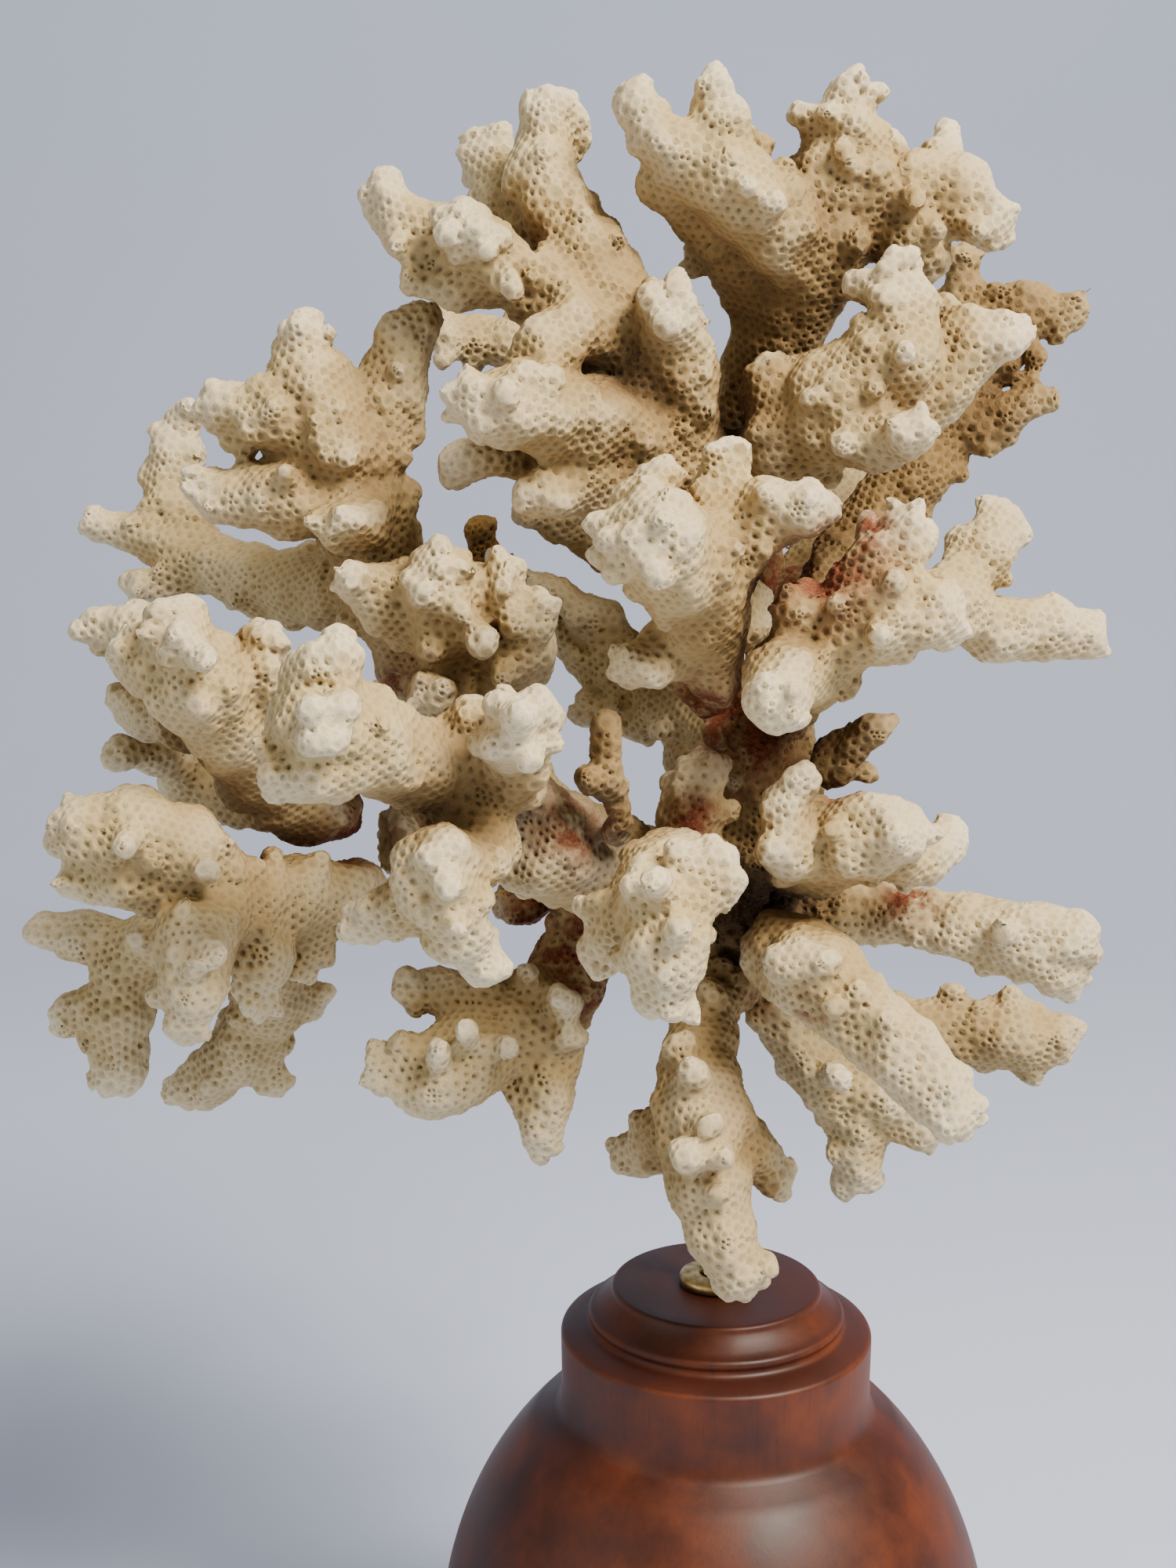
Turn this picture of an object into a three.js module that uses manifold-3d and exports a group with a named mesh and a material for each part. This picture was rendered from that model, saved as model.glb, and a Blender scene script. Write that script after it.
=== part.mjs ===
// Dried branching coral on a turned wooden stand. Millimetres, +Z up, front of the coral toward -Y.
// The origin is the middle of the stand's foot, on the table.
import * as THREE from "three";
import { mergeVertices } from "three/addons/utils/BufferGeometryUtils.js";
import Module from "manifold-3d";

const wasm = await Module();
wasm.setup();

// Stand: one turned piece.
const STAND_HEIGHT = 100; // table to the top disc
const FOOT_RADIUS = 36;
const FOOT_HEIGHT = 7;
const BODY_RADIUS = 42.5; // widest part of the globe
const BODY_MIDDLE = 40; // height of the widest part
const BODY_RISE = 50.8; // half height of the upper half's oval
const BODY_DROP = 62; // half height of the lower half's oval
const NECK_RADIUS = 23.5;
const NECK_BOTTOM = 80;
const COLLAR_EDGE = 93; // height of the collar's widest edge
const BEAD_RADIUS = 19.3;
const BEAD_HEIGHT = 95.6;
const DISC_RADIUS = 15.8;
const STAND_SIDES = 30;

// Metal parts between the stand and the coral.
const GAP = 0.3; // clearance between parts that touch
const ROD_RADIUS = 1.4;
const ROD_SINK = 20; // how deep the rod goes into the stand
const ROD_TOP = 154; // its end inside the coral's trunk
const ROSETTE_RADIUS = 5.6;
const ROSETTE_HOLE = 2.4;
const ROSETTE_HEIGHT = 1.6;

// Coral: how the limbs grow together.
const CELL = 2.2; // grid step that the surface is found on
const LIMB_BLEND = 1.6; // how far the crotch between two limbs of one branch is filled in
const BRANCH_BLEND = 1.2; // softness where a branch leaves the one that carries it
const CLEFT = 3; // smallest space kept between branches that don't carry each other
const FORK_REACH = 1.5; // how far past a carrying branch's surface the fork's solid flesh goes
const LUMP = 0.45; // height of the uneven swellings along a limb
const KNOB_RADIUS = 2.7; // a knob at its root, where none is given
const KNOB_TAPER = 0.62; // tip radius as a share of that
const KNOB_STRETCH = 0.3; // how far a knob's round end goes past its listed tip
const BACK_KNOB_STEP = 8; // spacing of the knobs on the side turned away
const BACK_KNOB_REACH = 2.6; // how far those stand out
const SAW_CUT = 0.3; // width of the cut at each fork
const FORK_DEPTH = 2.6; // how far before a cut the two branches may be one flesh
const CUT_CLEAR = 5.5; // how far outside the carrying branch's surface a cut's middle lies
const CRUMB = 120; // pieces smaller than this, in cubic millimetres, are cutting waste
const EVENNESS = 0.002; // how much a long side counts against removing an edge
const FIRST_LIMIT = 0.004; // squared error, in square millimetres, allowed in the first round of thinning
const CORAL_TRIANGLES = 8300; // triangles for all of the coral

const CORAL_COLOUR = 0xd9cfb8;

// Every branch: the one it grows from, its limbs as [x, y, z, radius] along the middle, and its
// knobs as [x, y, z] at their tips, with a fourth number where one is thicker or thinner than usual.
// growth is how far the knobs on its far side stand out, as a share of usual. The cut at its fork lies
// where the first limb leaves the carrying branch, or cut millimetres along it, and is cutRadius
// wide where the usual one would be too small.
const BRANCHES = {
  trunk: {
    from: null,
    limbs: [
      [[1, 0, 149, 6.5], [4, 0, 159, 7.5], [7, 0, 169, 7.5], [7, 0, 179, 7.5], [5, 3, 188, 7.5],
       [3, 6, 195, 7.5]],
    ],
    knobs: [[-2, -4, 184], [-2, -2, 180], [0, -8, 178, 2], [8, -6, 186, 2], [14, -4, 176, 2]],
  },
  upper_branch: {
    from: "trunk",
    limbs: [
      [[3, 6, 195, 6.5], [-2, 6, 206, 7], [-6, 2, 216, 7.5], [-9, -3, 225, 8], [-12, -6, 234, 7.5],
       [-16, -6, 242, 6.5], [-20, -4, 250, 6], [-26, 0, 261, 5], [-25, 2, 269, 4]],
      [[-23, 4, 251, 4.5], [-30, 10, 259, 4.5], [-34, 14, 266, 3.5]],
      [[-9, -3, 225, 8], [-8, -8, 235, 6.5], [-9, -14, 242, 4.5]],
      [[-9, -3, 225, 8], [-20, -14, 228, 6.5], [-29, -22, 230, 5.5], [-32, -24, 230, 4.5]],
      [[-11, -4, 223, 6.5], [-20, -12, 221, 5.5], [-24, -16, 219, 4]],
      [[-15, -4, 223, 5.5], [-27, -8, 224, 4], [-35, -10, 223, 3]],
      [[-15, -8, 240, 5], [-21, -14, 240, 4.5], [-25, -17, 237, 4.5]],
    ],
    knobs: [[-30, 0, 272], [-20, 3, 270], [-25, 1, 272, 3], [-20, 4, 264], [-20, 2, 261],
      [-21, 0, 257], [-30, -2, 259], [-31, 12, 270], [-35, 15, 268], [-37, 15, 262], [-12, -2, 250],
      [-11, -5, 247], [-15, -1, 255], [-18, 6, 259], [-20, -8, 256], [-12, -18, 245, 3],
      [-8, -16, 245, 3], [-10, -20, 240, 3], [-5, -10, 244], [-27, -26, 235, 3], [-23, -24, 234, 3],
      [-35, -26, 233, 3], [-37, -25, 230, 3], [-33, -28, 227], [-29, -30, 232], [-40, -11, 223, 3],
      [-39, -10, 221], [-23, -20, 217, 3], [-20, -15, 218], [-28, -16, 217], [-16, -14, 222],
      [-14, -14, 226], [-2, 2, 226], [-5, -2, 238]],
  },
  upper_left_arm: {
    from: "upper_branch",
    cutRadius: 16,
    limbs: [
      [[-18, -6, 244, 5], [-23, -8, 244, 5.5], [-30, -8, 248, 5.5], [-36, -8, 251, 5.5],
       [-43, -8, 253, 4.5], [-46, -8, 257, 3.5]],
      [[-30, -8, 248, 5.5], [-35, -14, 252, 4.5]],
      [[-30, -8, 248, 5.5], [-37, -10, 246, 3.5], [-41, -10, 246, 2.5]],
    ],
    knobs: [[-47, -8, 259, 3], [-45, -7, 260, 3], [-48, -9, 255], [-46, -9, 253], [-44, -9, 250],
      [-44, -10, 247], [-42, -8, 245], [-40, -16, 255, 3], [-37, -17, 255, 3], [-39, -19, 252],
      [-34, -20, 253], [-30, -16, 252], [-29, -18, 244], [-32, -20, 249]],
  },
  top_branch: {
    from: "trunk",
    limbs: [
      [[3, 10, 195, 6.5], [4, 18, 207, 6], [4, 20, 220, 6.5], [5, 16, 231, 6.5], [8, 10, 241, 7],
       [11, 5, 250, 7.5], [13, 3, 259, 6.5], [16, 2, 267, 5], [16, 2, 271, 3.5]],
      [[8, 10, 244, 6.5], [2, 4, 251, 5.5], [-4, 0, 257, 4.5], [-9, -4, 260, 4]],
      [[11, 5, 250, 7], [6, -2, 255, 6.5], [-1, -6, 260, 6], [-2, -6, 267, 4.5], [-3, -6, 270, 3.5]],
      [[-1, -6, 260, 6], [-7, -8, 263, 4.5], [-11, -8, 266, 3.5], [-13, -8, 269, 3]],
    ],
    knobs: [[-14, -9, 269], [-11, -7, 270], [-15, -8, 267], [-14, -8, 264], [-10, -10, 268],
      [-5, -6, 271], [-1, -5, 272], [0, -4, 268], [-6, -10, 267], [3, -2, 267], [5, 0, 267],
      [8, 2, 270, 3], [8, -4, 263], [14, 2, 274, 3], [19, 3, 272, 3], [12, -3, 270], [17, -4, 268],
      [15, -6, 264], [6, -12, 256, 3.5], [11, -6, 254], [-6, 6, 252], [-6, 8, 249], [-12, -6, 260],
      [-5, -10, 260], [2, -14, 258], [10, -8, 260], [-2, 22, 236, 3], [9, 4, 236]],
  },
  top_right_arm: {
    from: "top_branch",
    cutRadius: 16,
    limbs: [
      [[13, 5, 253, 6.5], [19, 4, 258, 6.5], [24, 4, 260, 6.5], [31, 4, 260, 5.5], [36, 3, 256, 4]],
      [[26, 4, 259, 5], [25, 2, 253, 4.5], [27, 2, 251, 3]],
    ],
    knobs: [[40, 3, 256], [39, 3, 254], [36, 6, 263, 3], [36, 0, 260], [33, -2, 254], [29, -3, 254],
      [28, 0, 253], [26, 1, 250], [22, 0, 250], [23, 14, 269], [25, 14, 269], [32, 14, 270, 3],
      [29, 8, 267], [33, 8, 265], [24, -3, 264], [20, -4, 262], [25, -6, 258], [18, -4, 252]],
  },
  mid_right_lobe: {
    from: "upper_branch",
    limbs: [
      [[-3, 4, 216, 6.5], [2, 0, 221, 6.5], [9, -5, 226, 7], [15, -9, 231, 7.5], [22, -10, 237, 6.5],
       [23, -10, 244, 4.5], [22, -10, 247, 3]],
      [[15, -9, 231, 7], [26, -6, 232, 6], [32, -6, 238, 5.5], [36, -8, 239, 4]],
      [[9, -5, 226, 6.5], [6, -4, 232, 5]],
      [[14, -9, 228, 6.5], [19, -14, 226, 4.5], [22, -18, 226, 3.5]],
    ],
    knobs: [[6, -4, 236, 3], [1, -2, 231, 3], [2, -10, 227], [-2, -2, 227], [19, -10, 247],
      [25, -9, 247], [19, -14, 244], [25, -12, 243], [15, -8, 247, 3.5], [15, -12, 243],
      [28, -2, 245, 3], [28, -8, 244], [32, -8, 244], [38, -8, 240], [37, -8, 237], [35, -6, 234],
      [21, -22, 227], [24, -20, 227], [25, -16, 225], [13, -18, 225], [9, -16, 231], [17, -16, 239],
      [22, -19, 237], [13, -12, 236], [9, -8, 222], [30, -8, 232], [18, -18, 232]],
  },
  back_right_branch: {
    from: "trunk",
    limbs: [
      [[6, 10, 193, 6], [15, 18, 202, 5], [23, 24, 212, 5], [31, 26, 221, 6], [36, 28, 231, 5.5],
       [42, 30, 240, 5.5], [47, 30, 245, 4.5], [53, 30, 245, 3]],
      [[34, 28, 228, 5.5], [42, 26, 228, 4], [47, 24, 231, 3]],
      [[42, 30, 240, 5.5], [39, 32, 247, 3.5], [38, 32, 251, 2.5]],
    ],
    knobs: [[49, 24, 232], [46, 24, 233], [45, 24, 225], [42, 24, 223], [39, 24, 220], [37, 32, 251],
      [40, 32, 251], [42, 30, 249], [44, 30, 249], [50, 30, 249], [57, 30, 246], [57, 30, 242],
      [53, 28, 240], [50, 26, 237], [46, 26, 235], [35, 26, 219], [33, 26, 214], [25, 20, 205],
      [22, 30, 216], [27, 34, 228, 3]],
  },
  front_centre_cluster: {
    from: "trunk",
    limbs: [
      [[3, -4, 188, 6.5], [-1, -16, 196, 6.5], [-4, -27, 204, 6.5], [-8, -34, 211, 7],
       [-11, -40, 214, 6.5]],
      [[-4, -27, 204, 6.5], [-1, -28, 213, 6.5], [-2, -26, 220, 4], [-2, -26, 223, 2.5]],
      [[-1, -28, 212, 6.5], [3, -30, 216, 5], [7, -32, 217, 4]],
      [[-2, -18, 198, 6], [-8, -24, 199, 4.5], [-12, -28, 197, 3.5]],
      [[-8, -34, 211, 6.5], [-12, -34, 217, 5], [-11, -34, 220, 3]],
    ],
    knobs: [[-2, -26, 224], [7, -34, 219, 3], [8, -32, 215, 3], [2, -36, 220], [-13, -38, 217, 3],
      [-10, -36, 219, 3], [-12, -34, 221], [-13, -46, 212, 4.5], [-7, -44, 211, 4],
      [-11, -46, 209, 3.5], [-8, -46, 214, 3.5], [-20, -38, 216, 3], [-17, -34, 218, 3],
      [-20, -38, 211, 3], [-17, -42, 209, 3], [-18, -44, 214, 3], [-15, -46, 215, 3], [-14, -28, 197],
      [-13, -28, 196], [-7, -14, 191, 3], [-10, -14, 192], [-5, -38, 217], [0, -38, 213],
      [-2, -38, 209], [-4, -32, 201], [-15, -36, 206]],
  },
  front_right_arm: {
    from: "trunk",
    limbs: [
      [[6, -6, 190, 6.5], [9, -18, 196, 6.5], [12, -26, 201, 6.5], [18, -29, 204, 6.5],
       [24, -30, 204, 4.5]],
      [[10, -22, 197, 6], [5, -34, 196, 5], [4, -38, 194, 4.5]],
      [[15, -28, 203, 6], [18, -28, 210, 5], [21, -28, 213, 4]],
      [[10, -22, 199, 5.5], [8, -28, 203, 4]],
    ],
    knobs: [[19, -28, 215, 3], [21, -30, 215, 3], [23, -30, 214, 3], [24, -34, 207, 3],
      [27, -30, 202, 3], [27, -28, 199], [23, -34, 201], [2, -42, 193, 3], [5, -42, 194, 3],
      [2, -42, 197], [7, -32, 205], [11, -34, 206], [14, -34, 207], [14, -28, 195], [19, -36, 209],
      [16, -38, 201], [5, -32, 199]],
  },
  right_fork: {
    from: "front_right_arm",
    limbs: [
      [[23, -22, 205, 5], [30, -14, 204, 4.5], [37, -10, 200, 4.5], [44, -8, 200, 4.5],
       [49, -7, 199, 4]],
      [[29, -14, 204, 4.5], [34, -10, 210, 4.5], [37, -8, 214, 3.5]],
    ],
    knobs: [[50, -7, 200], [50, -7, 197], [40, -8, 215], [39, -6, 215], [35, -8, 217], [34, -12, 214],
      [41, -8, 212], [45, -10, 203], [41, -6, 203], [32, -14, 201, 3], [41, -8, 196], [47, -8, 196],
      [39, -8, 209]],
  },
  right_lobe: {
    from: "trunk",
    limbs: [
      [[9, -6, 163, 5], [12, -16, 169, 5.5], [16, -22, 173, 6], [20, -24, 174, 5.5]],
      [[12, -16, 169, 5], [7, -24, 172, 4], [7, -24, 178, 3.5], [8, -24, 180, 2.5]],
      [[19, -20, 172, 5], [26, -14, 169, 4.5], [30, -12, 170, 3.5]],
    ],
    knobs: [[3, -28, 172, 3.5], [5, -24, 169, 3], [17, -26, 179, 3.5], [19, -28, 178], [22, -26, 176],
      [8, -24, 181], [5, -26, 178], [31, -12, 173], [32, -12, 169], [29, -12, 173], [21, -30, 175],
      [25, -14, 166], [15, -26, 169], [12, -28, 176]],
  },
  small_fork: {
    from: "trunk",
    cut: 4,
    cutRadius: 8,
    limbs: [
      [[10, -2, 179, 4.5], [14, -8, 181, 4], [17, -10, 184, 3], [19, -11, 186, 2]],
      [[13, -7, 181, 4], [14, -8, 185, 2.5], [15, -8, 187, 2]],
    ],
    knobs: [[19, -11, 186, 2], [16, -10, 180], [11, -8, 184]],
  },
  right_finger: {
    from: "trunk",
    limbs: [
      [[9, 2, 159, 6], [19, 3, 157, 5], [27, 1, 157, 4.5], [34, -2, 156, 5], [43, -5, 155, 5.5],
       [48, -7, 155, 5]],
      [[42, -5, 155, 5.5], [48, -6, 151, 4.5]],
    ],
    knobs: [[52, -8, 159, 3], [52, -8, 155, 3], [49, -6, 149, 3], [28, -4, 154], [34, -4, 152, 3],
      [38, -4, 149, 3], [42, -6, 149], [44, -8, 159], [37, -6, 159], [31, -2, 161], [38, -13, 158]],
  },
  right_back_finger: {
    from: "trunk",
    limbs: [
      [[8, 8, 152, 5.5], [17, 16, 143, 4.5], [28, 20, 135, 4.5], [39, 21, 133, 5], [48, 20, 133, 6],
       [53, 20, 132, 5]],
    ],
    knobs: [[30, 20, 140], [39, 20, 141, 3], [42, 18, 140], [47, 20, 141, 3], [52, 20, 138, 3],
      [58, 20, 131, 3], [57, 20, 128, 3], [51, 20, 125, 3], [44, 20, 126], [37, 20, 129],
      [57, 20, 135]],
  },
  lower_right_arm: {
    from: "trunk",
    limbs: [
      [[6, -4, 156, 6.5], [8, -16, 156, 6.5], [11, -24, 155, 6.5], [16, -27, 151, 5.5],
       [22, -30, 146, 5.5], [26, -33, 142, 5], [28, -34, 139, 4.2]],
    ],
    knobs: [[5, -30, 158, 4.5], [8, -30, 160, 4], [12, -32, 159, 3.5], [16, -32, 156, 3],
      [20, -34, 152], [31, -34, 144, 3], [32, -34, 141, 3], [30, -34, 137, 3], [27, -32, 136],
      [24, -30, 137], [22, -24, 142], [20, -26, 155], [12, -34, 153], [25, -34, 148]],
  },
  lower_right_fork: {
    from: "trunk",
    limbs: [
      [[6, 6, 150, 5.5], [10, 9, 140, 5], [17, 8, 130, 5.4], [22, 8, 123, 4.8], [22, 8, 115, 3.8]],
      [[18, 8, 129, 5.5], [26, 6, 127, 4.5], [31, 6, 122, 3.5]],
    ],
    knobs: [[19, 8, 111], [21, 6, 113], [26, 8, 112, 3], [33, 6, 120], [29, 4, 121], [18, -2, 133, 3],
      [14, 4, 132], [16, 6, 123], [17, 6, 118], [26, 8, 120], [10, 4, 146], [14, 12, 134]],
  },
  down_arm: {
    from: "trunk",
    limbs: [
      [[1, -2, 150, 5], [-2, -7, 145, 4.5], [-4, -14, 139, 6], [-4, -20, 133, 6.5], [-3, -22, 125, 6],
       [-1, -24, 118, 5], [1, -25, 113, 4]],
      [[-2, -18, 133, 6], [3, -16, 127, 4.5], [7, -16, 123, 2.5]],
      [[-4, -16, 132, 5.5], [-9, -8, 125, 4.5], [-12, -5, 122, 3]],
    ],
    knobs: [[-2, -12, 150, 3.5], [-7, -20, 144, 4], [-6, -26, 143, 3.5], [7, -16, 122], [-15, -5, 125],
      [-11, -5, 120], [-13, -8, 129], [-9, -14, 132], [-7, -34, 132, 3.5], [-3, -32, 136, 3],
      [-1, -32, 132, 3], [6, -25, 115], [1, -26, 110], [3, -26, 111], [-3, -28, 115],
      [-5, -20, 116, 3], [-5, -24, 122], [-1, -32, 126], [2, -26, 120]],
  },
  front_bottom_arm: {
    from: "trunk",
    limbs: [
      [[0, -6, 162, 5], [-6, -20, 168, 5.5], [-9, -34, 171, 6], [-10, -45, 170, 6],
       [-10, -48, 165, 5.5], [-10, -47, 159, 4]],
      [[-10, -45, 170, 5.5], [-5, -46, 173, 4.5]],
      [[-10, -40, 171, 5.5], [-15, -38, 166, 4.5], [-18, -36, 161, 3]],
      [[-6, -20, 168, 4.5], [-6, -22, 176, 4.5], [-5, -22, 181, 3.5]],
    ],
    knobs: [[-13, -46, 176, 3.5], [-10, -48, 178, 3.5], [-7, -46, 177, 3], [-3, -48, 177],
      [-2, -46, 175], [-3, -46, 170], [-4, -46, 166], [-21, -38, 168], [-19, -36, 163],
      [-16, -38, 162], [-14, -42, 159], [-9, -47, 156], [-12, -46, 157], [-7, -50, 164, 3],
      [-7, -24, 183], [-3, -22, 182], [-1, -22, 181], [1, -22, 177], [-2, -24, 176], [-9, -26, 180],
      [-16, -34, 175], [-15, -50, 173], [-8, -56, 170], [-11, -54, 163], [-12, -56, 175]],
  },
  front_left_arm: {
    from: "trunk",
    limbs: [
      [[2, -2, 160, 6.5], [-8, -8, 163, 7], [-18, -14, 168, 7.8], [-26, -22, 173, 7.8],
       [-34, -30, 180, 7], [-41, -38, 186, 6], [-47, -46, 190, 6.5], [-51, -50, 193, 6.5],
       [-51, -50, 198, 5]],
      [[-31, -26, 178, 6.5], [-30, -35, 185, 5.5], [-28, -42, 190, 4.8]],
      [[-47, -46, 190, 6.5], [-52, -50, 188, 5.5], [-54, -50, 187, 4]],
      [[-31, -28, 178, 5.5], [-33, -36, 187, 4.5]],
    ],
    knobs: [[-47, -52, 202, 3.5], [-49, -54, 200, 3], [-51, -50, 200], [-45, -44, 195, 3.5],
      [-41, -40, 191, 3], [-35, -34, 194, 3], [-31, -48, 196, 3.5], [-25, -48, 196, 3.5],
      [-27, -54, 195, 3], [-31, -50, 190, 3], [-24, -46, 190, 3], [-26, -50, 188, 3], [-54, -50, 184],
      [-51, -50, 184], [-49, -48, 183], [-46, -46, 184], [-57, -50, 189, 3], [-56, -54, 193, 3],
      [-54, -54, 197, 3], [-51, -60, 196, 3], [-47, -58, 196, 3], [-48, -60, 192, 3],
      [-51, -60, 192, 3], [-46, -52, 198, 3], [-58, -48, 186], [-43, -44, 184], [-34, -44, 189]],
  },
  front_lower_knob: {
    from: "front_left_arm",
    limbs: [
      [[-30, -27, 176, 6], [-34, -36, 175, 5.5], [-38, -43, 174, 6], [-38, -44, 171, 5],
       [-35, -42, 165, 4], [-33, -40, 161, 3]],
      [[-37, -43, 171, 5], [-43, -40, 168, 4], [-47, -38, 166, 3]],
    ],
    knobs: [[-36, -48, 179, 4.5], [-39, -50, 177, 3.5], [-34, -46, 176, 3.5], [-43, -46, 174, 3],
      [-42, -48, 173], [-49, -38, 166], [-46, -38, 163], [-43, -40, 163], [-40, -42, 164],
      [-37, -44, 163], [-32, -40, 159], [-34, -42, 160], [-35, -50, 167], [-30, -42, 173, 3],
      [-31, -44, 170, 3], [-32, -42, 166], [-36, -52, 173, 3]],
  },
  left_limb: {
    from: "trunk",
    growth: 0.6,
    limbs: [
      [[2, 4, 160, 6.5], [-11, 9, 162, 6.5], [-25, 12, 165, 6.5], [-38, 12, 166, 6],
       [-45, 10, 166, 5.5]],
      [[-23, 12, 164, 6.5], [-31, 14, 175, 6.5], [-38, 12, 186, 6]],
      [[-23, 12, 164, 5.5], [-29, 10, 157, 4.5]],
    ],
    knobs: [[-18, 20, 166, 3], [-33, 14, 158, 3]],
  },
  centre_left_crown: {
    from: "left_limb",
    limbs: [
      [[-35, 8, 185, 5.5], [-35, -6, 193, 6.5], [-38, -16, 202, 6.5], [-39, -20, 207, 5.5]],
      [[-37, -14, 200, 6], [-46, -15, 205, 5.5], [-50, -18, 208, 4.5]],
      [[-36, -8, 195, 6], [-29, -15, 198, 5.5], [-27, -18, 201, 3.5]],
      [[-37, -9, 194, 6], [-40, -17, 191, 4.5]],
      [[-39, -14, 203, 5.5], [-32, -18, 206, 4.5]],
    ],
    knobs: [[-53, -20, 209], [-50, -20, 211, 3], [-46, -18, 211, 3], [-44, -16, 211, 3],
      [-38, -22, 212, 3], [-35, -20, 210], [-34, -20, 208, 3], [-30, -16, 207, 3], [-30, -22, 201, 3],
      [-32, -26, 199, 3], [-26, -18, 201], [-24, -18, 197], [-25, -16, 193], [-28, -18, 193],
      [-52, -20, 206], [-49, -18, 202, 3], [-46, -18, 200, 3], [-41, -22, 198, 3], [-38, -24, 194, 3],
      [-41, -20, 190, 3], [-36, -18, 189, 3], [-31, -22, 194], [-35, -26, 203, 3], [-41, -26, 206, 3],
      [-43, -24, 208], [-29, -22, 202]],
  },
  upper_left_branch: {
    from: "left_limb",
    limbs: [
      [[-39, 13, 186, 6], [-45, 13, 193, 6.5], [-48, 5, 205, 6.5], [-51, -2, 216, 7.5],
       [-54, -7, 225, 7.5], [-57, -8, 233, 6], [-58, -8, 237, 4.5]],
      [[-54, -7, 225, 7], [-61, -9, 229, 5.5], [-68, -9, 230, 4]],
      [[-52, -4, 218, 7], [-60, -10, 218, 5.5], [-69, -10, 218, 4]],
      [[-52, -4, 222, 7], [-47, -4, 231, 5.5], [-44, -4, 240, 4]],
      [[-51, -4, 217, 6.5], [-51, -14, 214, 4.5]],
    ],
    knobs: [[-61, -8, 239], [-56, -7, 239, 3], [-58, -10, 240, 3], [-54, -12, 235], [-63, -12, 234, 3],
      [-61, -16, 230, 3], [-71, -9, 231, 3], [-69, -10, 228], [-65, -14, 226], [-73, -10, 217],
      [-71, -12, 220], [-69, -12, 221], [-71, -8, 215], [-63, -16, 217], [-59, -18, 222],
      [-44, -4, 243], [-48, -4, 241], [-42, -4, 238], [-42, -4, 231], [-45, -10, 235], [-43, -4, 226],
      [-43, 0, 219], [-54, -16, 214], [-50, -18, 213], [-47, -14, 217], [-56, -16, 226],
      [-52, -14, 230], [-51, -16, 223], [-45, 2, 213]],
  },
  far_left_column: {
    from: "upper_left_branch",
    limbs: [
      [[-49, 8, 205, 5.5], [-59, 18, 203, 6], [-71, 26, 204, 5.5], [-81, 32, 207, 5],
       [-86, 36, 215, 4.5], [-85, 38, 223, 4.5], [-84, 38, 228, 3]],
      [[-83, 32, 207, 4.5], [-90, 34, 211, 4], [-96, 34, 212, 2.5]],
      [[-81, 32, 206, 4.5], [-88, 30, 203, 3]],
    ],
    knobs: [[-85, 38, 228], [-82, 38, 228], [-89, 38, 227], [-91, 38, 220, 3], [-89, 36, 218],
      [-81, 36, 221], [-98, 34, 212], [-97, 34, 210], [-93, 34, 209], [-93, 30, 203], [-90, 30, 201],
      [-74, 26, 202], [-64, 22, 209], [-81, 34, 215]],
  },
  left_lobe: {
    from: "left_limb",
    limbs: [
      [[-51, 6, 167, 5.5], [-59, 2, 172, 6], [-66, -6, 179, 6], [-68, -16, 188, 6.5],
       [-71, -22, 194, 7], [-73, -24, 200, 5.5]],
      [[-68, -16, 190, 6], [-63, -18, 196, 4.5], [-63, -18, 198, 3.5]],
      [[-71, -22, 194, 6.5], [-77, -22, 196, 4.5], [-79, -22, 197, 3]],
      [[-68, -10, 186, 5.5], [-81, -4, 188, 4.5], [-85, -2, 188, 3]],
      [[-59, 2, 173, 5], [-72, 10, 173, 4.5], [-81, 14, 174, 4]],
      [[-79, 12, 175, 4], [-82, 6, 180, 3.5], [-86, 2, 181, 2.5]],
      [[-72, -12, 195, 4.5], [-82, -6, 199, 4.5], [-87, -4, 200, 3.5]],
    ],
    knobs: [[-76, -26, 205], [-72, -26, 205, 3], [-70, -24, 205, 3], [-76, -28, 201],
      [-71, -32, 202, 3], [-66, -22, 200], [-63, -18, 200], [-80, -24, 197], [-77, -26, 192, 3],
      [-73, -28, 191, 3], [-69, -30, 192, 3], [-65, -28, 194], [-61, -16, 197], [-59, -14, 194, 3],
      [-60, -14, 190], [-62, -20, 190], [-90, -4, 200], [-89, -4, 197], [-87, 0, 181], [-87, -2, 187],
      [-83, -6, 191], [-84, 16, 173], [-80, 14, 170], [-79, 12, 178], [-71, -8, 182], [-64, -16, 184],
      [-62, -8, 178], [-67, -34, 198], [-74, -32, 198]],
  },
  lower_left_branch: {
    from: "left_limb",
    limbs: [
      [[-51, 5, 166, 5.5], [-56, -2, 161, 6], [-62, -8, 162, 6], [-67, -14, 162, 5.5],
       [-71, -20, 162, 5.5], [-72, -26, 160, 5.5], [-72, -28, 154, 4.5], [-73, -28, 150, 3]],
      [[-69, -14, 162, 6], [-74, -20, 171, 6], [-80, -22, 174, 6], [-86, -22, 174, 5]],
      [[-75, -20, 166, 5], [-81, -22, 168, 4.5], [-86, -21, 167, 3.5]],
      [[-67, -14, 161, 5.5], [-65, -14, 155, 5], [-66, -14, 151, 3.5]],
      [[-59, -5, 160, 5.5], [-60, -4, 154, 4]],
      [[-66, -8, 160, 5.5], [-78, 0, 156, 5], [-88, 4, 150, 5], [-90, 4, 141, 5.5], [-90, 4, 133, 4.5]],
      [[-87, 4, 151, 4.5], [-95, 4, 153, 4], [-99, 4, 154, 2.5]],
      [[-90, 4, 143, 5], [-96, 4, 141, 3.5]],
      [[-67, -4, 158, 5], [-68, 12, 141, 6], [-74, 16, 131, 5.5], [-81, 18, 125, 4.5]],
      [[-68, 10, 143, 5], [-63, 12, 141, 3.5]],
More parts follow.
